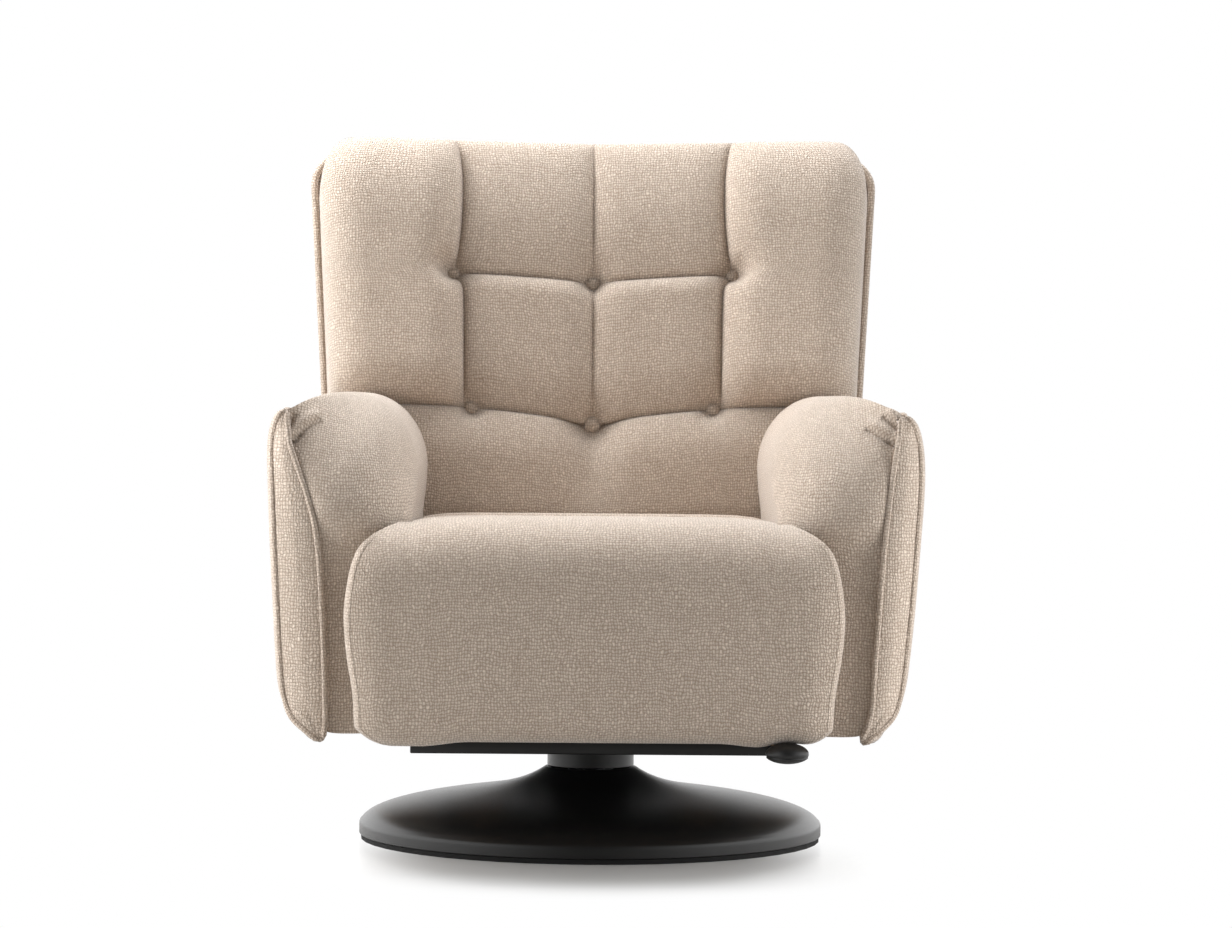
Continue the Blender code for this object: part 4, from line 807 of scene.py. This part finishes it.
# Tucks where the cover is gathered at the top of the inner welt, from the welt inwards
TUCKS = {
    -1: (((0.3714, 0.5171), (0.3620, 0.5262), (0.3502, 0.5384), (0.3353, 0.5452)),
         ((0.3749, 0.5328), (0.3710, 0.5443), (0.3683, 0.5540))),
    1: (((0.3660, 0.5210), (0.3515, 0.5299), (0.3304, 0.5404)),
        ((0.3715, 0.5392), (0.3626, 0.5476), (0.3520, 0.5551))),
}


def line_x(line, z):
    """Distance from the middle of a welt line at height z."""
    points = sorted((height, x) for x, height in line)
    return float(np.interp(z, [p[0] for p in points], [p[1] for p in points]))


def bolster_outline(outer_x):
    """Closed outline of the bolster, up its inner side, over the crest and down along outer_x(height)."""
    points = [(ARM_IN_X + 0.012, ARM_FOOT_Z), (ARM_IN_X + 0.003, ARM_FOOT_Z + 0.006),
              (ARM_IN_X, ARM_FOOT_Z + 0.02)]
    points += [(ARM_IN_X, z) for z in np.linspace(0.21, SEAT_TOP_Z - 0.008, 8)]
    bulge_x = ARM_IN_X - ARM_IN_BULGE
    points += [(blend(ARM_IN_X, bulge_x, 0.7), blend(SEAT_TOP_Z, ARM_ROLL_Z, 0.45)), (bulge_x, ARM_ROLL_Z)]
    for k in range(1, 11):
        turn = math.pi / 2 * k / 10
        points.append((blend(ARM_CREST_X, bulge_x, math.cos(turn)),
                       blend(ARM_ROLL_Z, ARM_TOP_Z, math.sin(turn))))
    top_x = outer_x(ARM_WELT_Z)
    for share in (0.2, 0.4, 0.6, 0.75, 0.88, 1.0):
        points.append((blend(ARM_CREST_X, top_x, share), blend(ARM_TOP_Z, ARM_WELT_Z, share ** 2.2)))
    for z in np.linspace(ARM_WELT_Z - 0.012, ARM_FOOT_Z + 0.012, 16):
        points.append((outer_x(z), z))
    points.append((outer_x(ARM_FOOT_Z) - 0.008, ARM_FOOT_Z))
    points.append(points[0])
    return smooth_path(points, 600)


def arm_spine(outline, low, high, toward=0.5):
    """Middle line that the loops of a front face close onto."""
    spine = []
    for x, z in outline:
        height = min(max(z, low), high)
        level = [p[0] for p in outline if abs(p[1] - height) < 0.012]
        spine.append((blend(min(level), max(level), toward), height))
    return np.array(spine)


def behind_waist(z):
    """Outer side of the bolster behind the front, which leans out over the panel above the waist."""
    share = min(1.0, max(0.0, (z - ARM_WAIST_Z) / (ARM_WELT_Z - ARM_WAIST_Z)))
    return blend(ARM_PANEL_X, ARM_WELT_X, share ** 2)


def arm_rear(z):
    """Place along the depth of an arm's rear end, which leans with the back above the waist."""
    return ARM_REAR_Y + math.tan(BACK_LEAN) * np.maximum(0.0, z - ARM_WAIST_Z)


def arm_points(sign, flat, y):
    """Points of an arm from (x outwards, height) and places along the depth."""
    return np.stack([sign * flat[:, 0], y, flat[:, 1]], axis=1)


def rear_wall(sign, last, middle, shares):
    """Flat wall that closes an arm's rear end onto a middle line, with its thread map."""
    rows = []
    for inward in shares:
        flat = last * (1 - inward) + middle * inward
        rows.append(arm_points(sign, flat, arm_rear(flat[:, 1])))
    rows = np.array(rows)
    return rows, rows[:, :, [0, 2]]


def front_fall(y, z):
    """Place along the depth of an arm's point once the arm's front leans back above the waist."""
    over = z - ARM_WAIST_Z
    fall = math.tan(ARM_FRONT_LEAN) * 0.5 * (over + np.sqrt(over ** 2 + 0.03 ** 2))
    return y + fall * (ARM_REAR_Y - y) / (ARM_REAR_Y - ARM_STRIP_Y)


# Swell of an arm's pillow to the front at each height
PILLOW_SWELL = smooth_path(((0.36, 0.0020), (0.39, 0.0035), (0.43, 0.0170), (0.47, 0.0170), (0.52, 0.0050),
                            (0.58, -0.0150)), 60).T
# How far the front rounds off to the rear at the arm's inner edge at each height
INNER_ROUND = smooth_path(((0.33, 0.006), (0.38, 0.020), (0.42, 0.055), (0.46, 0.105), (0.50, 0.142),
                           (0.58, 0.145)), 60).T
INNER_REACH = 0.105
ARM_CORE = np.array([0.29, 0.36])
TUCK_DEPTH = 0.0080
TUCK_W = 0.0036
PUFF_RISE = 0.0060
PUFF_GAP = 0.0090
PUFF_W = 0.0062


def eased_step(share):
    share = np.clip(share, 0, 1)
    return share * share * (3 - 2 * share)


def make_bolster(side, sign):
    front_line = bolster_outline(lambda z: line_x(INNER_WELT[sign], z) - 0.001)
    rear_line = bolster_outline(behind_waist)
    spine = arm_spine(front_line, ARM_FOOT_Z + 0.045, ARM_TOP_Z - 0.105, 0.72)
    welt = smooth_path(INNER_WELT[sign], 120)
    away = np.linalg.norm(front_line[:, None] - welt[None], axis=2).min(axis=1)
    inner = eased_step(away / INNER_REACH)
    rolled = ARM_FRONT_Y + np.interp(front_line[:, 1], *INNER_ROUND)
    rim = blend(ARM_STRIP_Y + 0.010, rolled, inner)
    rows = []
    for k in range(61):
        inward = math.sin(math.pi / 2 * (1 - k / 60)) ** 1.4
        flat = front_line * (1 - inward) + spine * inward
        rise = math.sqrt(1 - (1 - inward) ** 2)
        crown = ARM_FRONT_Y - np.interp(flat[:, 1], *PILLOW_SWELL)
        rows.append(arm_points(sign, flat, front_fall(rim + (crown - rim) * rise, flat[:, 1])))
    front = np.array(rows)
    ray = (front_line - spine) / np.linalg.norm(front_line - spine, axis=1)[:, None]
    steps = np.linalg.norm(np.diff(front, axis=0), axis=2)
    reach = np.concatenate([np.zeros((1, len(ray))), np.cumsum(steps, axis=0)])
    cap = (front, (spine + ray * reach[:, :, None]) * np.array([sign, 1]))
    body = [front[-1]]
    start = front[-1][:, 1]
    for share in np.linspace(0.04, 1, 40):
        turn = min(1.0, share / 0.12)
        line = front_line * (1 - turn) + rear_line * turn
        end = arm_rear(line[:, 1])
        tail = max(0.0, (share - 0.95) / 0.05)
        draw_in = 0.012 * (1 - math.sqrt(max(0.0, 1 - tail ** 2)))
        line = ARM_CORE + (line - ARM_CORE) * (1 - draw_in / 0.12)
        body.append(arm_points(sign, line, start * (1 - share) + end * share))
    last = np.abs(body[-1][:, [0, 2]])
    rear_spine = arm_spine(last, ARM_FOOT_Z + 0.045, ARM_TOP_Z - 0.060)
    close = rear_wall(sign, last, rear_spine, (0, 0.3, 0.65, 1.0))
    bolster = skin("arm_bolster_cover_" + side, [cap, (np.array(body), None), close])
    gather(bolster, sign)
    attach(bolster, "chassis")
    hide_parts("arm_bolster_" + side)


def gather(bolster, sign):
    """Presses the tucks into the bolster's front: a sharp crease each, with a puff above it."""
    count = len(bolster.data.vertices)

    def read(kind):
        values = np.zeros(count * 3)
        bolster.data.vertices.foreach_get(kind, values)
        return values.reshape(-1, 3)

    co, normal = read("co"), read("normal")
    flat = np.stack([np.abs(co[:, 0]), co[:, 2]], axis=1)
    front = np.clip((front_fall(ARM_STRIP_Y + 0.060, co[:, 2]) - co[:, 1]) / 0.020, 0, 1)
    move = np.zeros(count)
    for tuck in TUCKS[sign]:
        line = smooth_path(tuck, 40)
        gap = np.linalg.norm(flat[:, None, :] - line[None], axis=2)
        nearest = gap.argmin(axis=1)
        near = gap.min(axis=1)
        share = nearest / 39
        fade = np.clip(1 - share, 0, 1) ** 0.4 * np.clip(share / 0.03 + 0.5, 0, 1)
        above = flat[:, 1] - line[nearest, 1]
        move -= TUCK_DEPTH * fade * np.exp(-(near / TUCK_W) ** 2)
        puff = PUFF_RISE * fade * np.exp(-((near - PUFF_GAP) / PUFF_W) ** 2)
        move += puff * np.clip(above / 0.003, -0.3, 1)
    co += normal * (move * front)[:, None]
    bolster.data.vertices.foreach_set("co", co.reshape(-1))
    bolster.data.update()


PANEL_SWELL = 0.0090
# The outer panel's foot rises towards the front, where it hides behind the strip
PANEL_FOOT = 0.1515
PANEL_FRONT_FOOT = 0.186
PANEL_BEND = 0.235
PANEL_LOW_Z = 0.158
PANEL_IN_MOST = 0.3775
STRIP_ROUND = 0.0075
STRIP_SLANT = 0.024
STRIP_INNER = 70


def strip_outline(sign, grow):
    """Closed outline of the arm's front strip, up its inner welt and down its outer one."""
    inner = smooth_path(INNER_WELT[sign], STRIP_INNER)
    outer = smooth_path(OUTER_WELT[sign], 78)
    outer[:, 0] += grow
    line = np.concatenate([inner[::-1], outer[1:]])
    return np.concatenate([line, line[:1]])


def panel_outline(sign):
    """The outer panel behind its front strip: flat against the frame inside, full outside."""
    line = strip_outline(sign, PANEL_SWELL)
    for k in range(STRIP_INNER):
        z = line[k, 1]
        x = max(PANEL_OUT_X, behind_waist(z) + 0.003) if z > ARM_WAIST_Z else PANEL_OUT_X
        line[k, 0] = min(x, PANEL_IN_MOST)
    line[-1] = line[0]
    outside = line[STRIP_INNER:-1]
    outside[:, 0] = np.maximum(outside[:, 0], PANEL_OUT_X + 0.004)
    return line


def strip_slant(z):
    """How far the strip's outer edge lies behind its inner one at a height; the two meet at both tips."""
    return STRIP_SLANT * eased_step((z - 0.157) / 0.060) * eased_step((0.562 - z) / 0.045)


def make_outer_panel(side, sign):
    front_line = strip_outline(sign, 0.0)
    rear_line = panel_outline(sign)
    spine = np.empty_like(front_line)
    slant = np.empty(len(front_line))
    for k, (x, z) in enumerate(front_line):
        height = min(max(z, 0.195), 0.535)
        near, far = line_x(INNER_WELT[sign], height), line_x(OUTER_WELT[sign], height)
        spine[k] = ((near + far) / 2, height)
        slant[k] = 0 if k < STRIP_INNER else strip_slant(z)
    rows = []
    for k in range(19):
        inward = math.sin(math.pi / 2 * (1 - k / 18))
        flat = front_line * (1 - inward) + spine * inward
        fall = blend(slant, STRIP_SLANT * 0.4, inward)
        bend = STRIP_ROUND * (1 - (1 - (1 - inward) ** 2) ** 0.5)
        rows.append(arm_points(sign, flat, front_fall(ARM_STRIP_Y + fall + bend, flat[:, 1])))
    front = np.array(rows)
    body = [front[-1]]
    start = front[-1][:, 1]
    inside = np.arange(len(front_line)) < STRIP_INNER
    for share in np.concatenate([np.linspace(0.01, 0.12, 14), np.linspace(0.14, 1, 34)]):
        turn = min(1.0, share / 0.09)
        inner_swell = min(1.0, max(0.0, (share - 0.085) / 0.02))
        swell = np.where(inside, inner_swell, math.sqrt(max(0.0, 1 - (1 - turn) ** 2)))
        line = front_line + (rear_line - front_line) * swell[:, None]
        y = start * (1 - share) + arm_rear(line[:, 1]) * share
        foot = np.interp(y, (-0.345, -0.155), (PANEL_FRONT_FOOT, PANEL_FOOT))
        low = line[:, 1] < PANEL_BEND
        lift = np.where(low, (PANEL_BEND - line[:, 1]) / (PANEL_BEND - PANEL_LOW_Z), 0)
        z = np.where(low, PANEL_BEND - lift * (PANEL_BEND - blend(PANEL_LOW_Z, foot, turn)), line[:, 1])
        body.append(np.stack([sign * line[:, 0], y, z], axis=1))
    last = np.abs(body[-1][:, [0, 2]])
    middle = np.stack([np.full(len(last), 0.372), np.clip(last[:, 1], 0.19, 0.53)], axis=1)
    close = rear_wall(sign, last, middle, (0, 0.4, 0.8, 1.0))
    panel = skin("arm_outer_cover_" + side, [(front, front[:, :, [0, 2]]), (np.array(body), None), close])
    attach(panel, "chassis")
    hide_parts("arm_outer_pad_" + side)

    inner = smooth_path(INNER_WELT[sign], 120)
    path = [(sign * x, front_fall(ARM_STRIP_Y + 0.0055, z), z) for x, z in inner]
    piping("arm_inner_welt_" + side, path, 0.0034, "chassis")
    outer = smooth_path(OUTER_WELT[sign], 120)
    path = [(sign * x, front_fall(ARM_STRIP_Y + strip_slant(z) + 0.0060, z), z) for x, z in outer]
    piping("arm_outer_welt_" + side, path, 0.0038, "chassis")
    z = ARM_WELT_Z + 0.001
    front, rear = front_fall(ARM_STRIP_Y + 0.009, z), arm_rear(z) - 0.004
    along = [(sign * ARM_WELT_X, y, z + 0.0015 * math.sin(9 * y)) for y in np.linspace(front, rear, 60)]
    piping("arm_top_welt_" + side, along, 0.0040, "chassis")


for side_name, side_sign in (("left", -1), ("right", 1)):
    make_bolster(side_name, side_sign)
    make_outer_panel(side_name, side_sign)


def make_apron():
    """Padded skirt round the rear of the chassis, with soft corners."""
    corner, front, thick = 0.045, ARM_REAR_Y - 0.020, 0.0140
    rear = APRON_REAR_Y + 0.006

    def plan(inset):
        half, back, turn = APRON_HALF - inset, rear - inset, corner - inset
        line = [(half, y) for y in np.linspace(front, back - turn, 12, endpoint=False)]
        line += [(half - turn + turn * math.cos(t), back - turn + turn * math.sin(t))
                 for t in np.linspace(0, math.pi / 2, 12)]
        line += [(x, back) for x in np.linspace(half - turn, 0, 16)[1:]]
        return np.array(line + [(-x, y) for x, y in line[-2::-1]])

    section = [(0.0015, APRON_FOOT_Z), (-0.001, APRON_FOOT_Z + 0.004)]
    section += [(-0.003 * math.sin(math.pi * s), blend(APRON_FOOT_Z + 0.004, APRON_TOP_Z - 0.004, s))
                for s in np.linspace(0.1, 1, 12)]
    section += [(0.002, APRON_TOP_Z - 0.0005), (0.007, APRON_TOP_Z), (thick, APRON_TOP_Z - 0.002),
                (thick, blend(APRON_TOP_Z, APRON_FOOT_Z, 0.5)), (thick, APRON_FOOT_Z + 0.002),
                (0.007, APRON_FOOT_Z)]
    section.append(section[0])
    rows = np.array([[(x, y, z) for x, y in plan(inset)] for inset, z in section])
    caps = [fan(end, end[:-1].mean(axis=0), [0, 2]) for end in (rows[:, 0], rows[:, -1])]
    apron = skin("rear_apron_cover", [(rows, None)] + caps)
    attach(apron, "chassis")
    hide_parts("rear_apron")


make_apron()


# Turned and moulded pieces, shaped by hand from primitives
def end_by_hand(name, slot, body, *replaced):
    bpy.ops.object.mode_set(mode="OBJECT")
    obj = bpy.context.view_layer.objects.active
    obj.name = name
    obj.data.name = name
    bm = bmesh.new()
    bm.from_mesh(obj.data)
    bmesh.ops.remove_doubles(bm, verts=bm.verts, dist=1e-6)
    bmesh.ops.recalc_face_normals(bm, faces=bm.faces)
    bm.to_mesh(obj.data)
    bm.free()
    bpy.ops.object.shade_smooth_by_angle(angle=math.radians(35))
    obj.data.materials.clear()
    obj.data.materials.append(LOOKS[slot])
    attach(obj, body)
    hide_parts(*replaced)


def turned_by_hand(name, profile, slot, body, *replaced, steps=128):
    """A circle drawn out and sized again ring by ring, from the first point of the profile to the last."""
    start_by_hand()
    radius, height = profile[0]
    bpy.ops.mesh.primitive_circle_add(vertices=steps, radius=radius, fill_type="NOTHING", location=(0, 0, 0))
    bpy.ops.object.mode_set(mode="EDIT")
    bpy.ops.mesh.select_all(action="SELECT")
    bpy.ops.transform.translate(value=(0, 0, height))
    for next_radius, next_height in profile[1:]:
        bpy.ops.mesh.extrude_edges_move(TRANSFORM_OT_translate={"value": (0, 0, next_height - height)})
        size = next_radius / radius
        bpy.ops.transform.resize(value=(size, size, 1), center_override=(0, 0, next_height))
        radius, height = next_radius, next_height
    end_by_hand(name, slot, body, *replaced)


def cover_height(radius):
    dome = DOME_RISE * max(0.0, 1 - (radius / SWIVEL_BASE_R) ** 2) ** DOME_POWER
    return RIM_H + dome + FLARE_RISE * math.exp(-(radius - NECK_R) / FLARE_FADE)


def make_base():
    outer = []
    for share in eased(44):
        radius = blend(NECK_R, SWIVEL_BASE_R - 0.0030, share)
        outer.append((radius, cover_height(radius)))
    last = outer[-1][1]
    outer += [(SWIVEL_BASE_R - 0.0012, last - 0.0016), (SWIVEL_BASE_R - 0.0002, last - 0.0042),
              (SWIVEL_BASE_R, last - 0.0070), (SWIVEL_BASE_R, COVER_FOOT_Z + 0.0012),
              (SWIVEL_BASE_R - 0.0008, COVER_FOOT_Z + 0.0003), (SWIVEL_BASE_R - 0.0020, COVER_FOOT_Z)]
    under = [(SWIVEL_BASE_R - 0.004, COVER_FOOT_Z), (SWIVEL_BASE_R - 0.005, RIM_H)]
    under += [(radius, cover_height(radius) - 0.005) for radius, _ in outer[36:2:-4]]
    neck_z = cover_height(NECK_R)
    neck = [(NECK_BORE_R, neck_z - 0.006), (NECK_BORE_R, neck_z - 0.001), (NECK_BORE_R + 0.001, neck_z),
            (NECK_R - 0.004, neck_z + 0.0008), outer[0]]
    turned_by_hand("trumpet_base", outer + under + neck, "black_metal", "base", "base_trumpet_cover")
    low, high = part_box("column_sleeve")
    radius, bore = high.x, high.x - 0.0105
    tube = [(bore, high.z), (radius - 0.001, high.z), (radius, high.z - 0.001), (radius, low.z + 0.0012),
            (radius - 0.0012, low.z), (bore, low.z), (bore, high.z)]
    turned_by_hand("column_tube", tube, "black_metal", "chassis", "column_sleeve", steps=96)


def bar_by_hand(name, node, slot, body, bevel):
    low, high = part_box(node)
    start_by_hand()
    bpy.ops.mesh.primitive_cube_add(size=1, location=(low + high) / 2, scale=high - low)
    bpy.ops.object.transform_apply(location=True, rotation=True, scale=True)
    bpy.ops.object.mode_set(mode="EDIT")
    bpy.ops.mesh.select_all(action="SELECT")
    bpy.ops.mesh.bevel(offset=bevel, segments=3, affect="EDGES")
    end_by_hand(name, slot, body, node)


def make_paddle():
    """Oval thumb paddle: a dome with a flatter underside and a parting line round it."""
    low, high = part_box("release_paddle")
    start_by_hand()
    bpy.ops.mesh.primitive_uv_sphere_add(segments=64, ring_count=32, radius=1, location=(low + high) / 2,
                                         scale=(high - low) / 2)
    bpy.ops.object.transform_apply(location=True, rotation=True, scale=True)
    bpy.ops.object.mode_set(mode="EDIT")
    middle = (low.z + high.z) / 2
    bm = bmesh.from_edit_mesh(bpy.context.edit_object.data)
    for vert in bm.verts:
        vert.select_set(vert.co.z < middle - 0.004)
    bm.select_flush(True)
    bmesh.update_edit_mesh(bpy.context.edit_object.data)
    centre = (*((low + high) / 2).xy, low.z + 0.009)
    bpy.ops.transform.resize(value=(1.05, 1.05, 0.9), center_override=centre)
    end_by_hand("release_paddle_cap", "black_plastic", "lever", "release_paddle")


make_base()
for bar_node in ("front_crossbar", "rear_crossbar", "subframe_rail_left"):
    bar_by_hand(bar_node + "_bar", bar_node, "black_metal", "chassis", 0.0016)
make_paddle()

# Floor, light and camera
FLOOR_SIZE = 30.0


def make_stage():
    """White floor without an edge: it takes the shadow near the chair and is plain white farther out."""
    start_by_hand()
    bpy.ops.mesh.primitive_plane_add(size=FLOOR_SIZE, location=(0, 0, -0.0002))
    floor = bpy.context.view_layer.objects.active
    floor.name = "studio_floor"
    look, tree, surface = new_look("white_studio_floor")
    rays = add(tree, "ShaderNodeLightPath")
    seen = rays.outputs["Is Camera Ray"]
    wire(tree, surface, {"Base Color": tones(tree, seen, "#C0BFBD", "#F2F2F1"), "Roughness": 0.25,
                         "Specular IOR Level": 0.3})
    place = add(tree, "ShaderNodeTexCoord").outputs["Object"]
    place = vectors(tree, "ADD", place, (0, 0.27, 0))
    place = vectors(tree, "MULTIPLY", place, (0.92, 1, 1))
    reach = add(tree, "ShaderNodeVectorMath", {0: place}, operation="LENGTH").outputs["Value"]
    fade = add(tree, "ShaderNodeMapRange", {"Value": reach, "From Min": 0.16, "From Max": 0.38},
               interpolation_type="SMOOTHSTEP").outputs[0]
    plain = add(tree, "ShaderNodeEmission", {"Color": (1, 1, 1, 1), "Strength": 1.0})
    fade = sums(tree, "MULTIPLY", fade, seen)
    mixed = add(tree, "ShaderNodeMixShader", {0: fade, 1: surface.outputs[0], 2: plain.outputs[0]})
    tree.links.new(mixed.outputs[0], tree.nodes["Material Output"].inputs["Surface"])
    floor.data.materials.append(look)

    world = bpy.data.worlds.new("studio_world")
    bpy.context.scene.world = world
    world.use_nodes = True
    tree = world.node_tree
    rays = add(tree, "ShaderNodeLightPath")
    way = add(tree, "ShaderNodeSeparateXYZ", {0: add(tree, "ShaderNodeTexCoord").outputs["Generated"]})
    sides = sums(tree, "POWER", sums(tree, "ABSOLUTE", way.outputs[0]), 2.0)
    walls = sums(tree, "ADD", sums(tree, "MULTIPLY", sides, 2.20), 0.01)
    behind = sums(tree, "MAXIMUM", way.outputs[1], 0.0)
    glint = sums(tree, "MULTIPLY", rays.outputs["Is Glossy Ray"], 1.8)
    walls = sums(tree, "ADD", walls, sums(tree, "MULTIPLY", behind, glint))
    strength = add(tree, "ShaderNodeMix", {"Factor": rays.outputs["Is Camera Ray"], "A": walls, "B": 1.0})
    back = tree.nodes["Background"]
    back.inputs["Color"].default_value = (1, 1, 1, 1)
    tree.links.new(strength.outputs["Result"], back.inputs["Strength"])


def linked(name, data):
    obj = bpy.data.objects.new(name, data)
    bpy.context.scene.collection.objects.link(obj)
    return obj


def lamp(name, place, aim, size, power, glints=True):
    data = bpy.data.lights.new(name, "AREA")
    data.shape = "RECTANGLE"
    data.size, data.size_y = size
    data.energy = power
    obj = linked(name, data)
    obj.location = place
    obj.visible_camera = False
    obj.visible_glossy = glints
    obj.rotation_euler = (Vector(aim) - Vector(place)).to_track_quat("-Z", "Y").to_euler()


make_stage()
lamp("overhead_softbox", (0, 0.55, 2.4), (0, -0.1, 0.4), (2.0, 1.2), 47)
lamp("left_top_softbox", (-1.3, 0.3, 1.9), (0, -0.1, 0.55), (0.8, 0.8), 27)
lamp("left_raking_light", (-1.7, -0.20, 1.15), (0, 0.12, 0.70), (0.35, 0.9), 10, glints=False)
lamp("left_strip_light", (-0.90, -0.52, 0.36), (-0.36, -0.36, 0.36), (0.25, 0.55), 2.0, glints=False)
lamp("right_strip_light", (0.90, -0.52, 0.36), (0.36, -0.36, 0.36), (0.25, 0.55), 2.9, glints=False)

FOCAL_PX, PHOTO_W = 3825.0, 1232
view = bpy.data.cameras.new("photo_camera")
view.sensor_width = 36
view.lens = FOCAL_PX * view.sensor_width / PHOTO_W
camera = linked("photo_camera", view)
camera.location = (-0.042, -5.0, 0.57)
camera.rotation_euler = (math.pi / 2 - math.atan(62 / FOCAL_PX), 0, -math.atan(55 / FOCAL_PX))
camera.rotation_euler.rotate_axis("Z", math.radians(0.5))
bpy.context.scene.camera = camera
bpy.context.scene.view_settings.view_transform = "Standard"
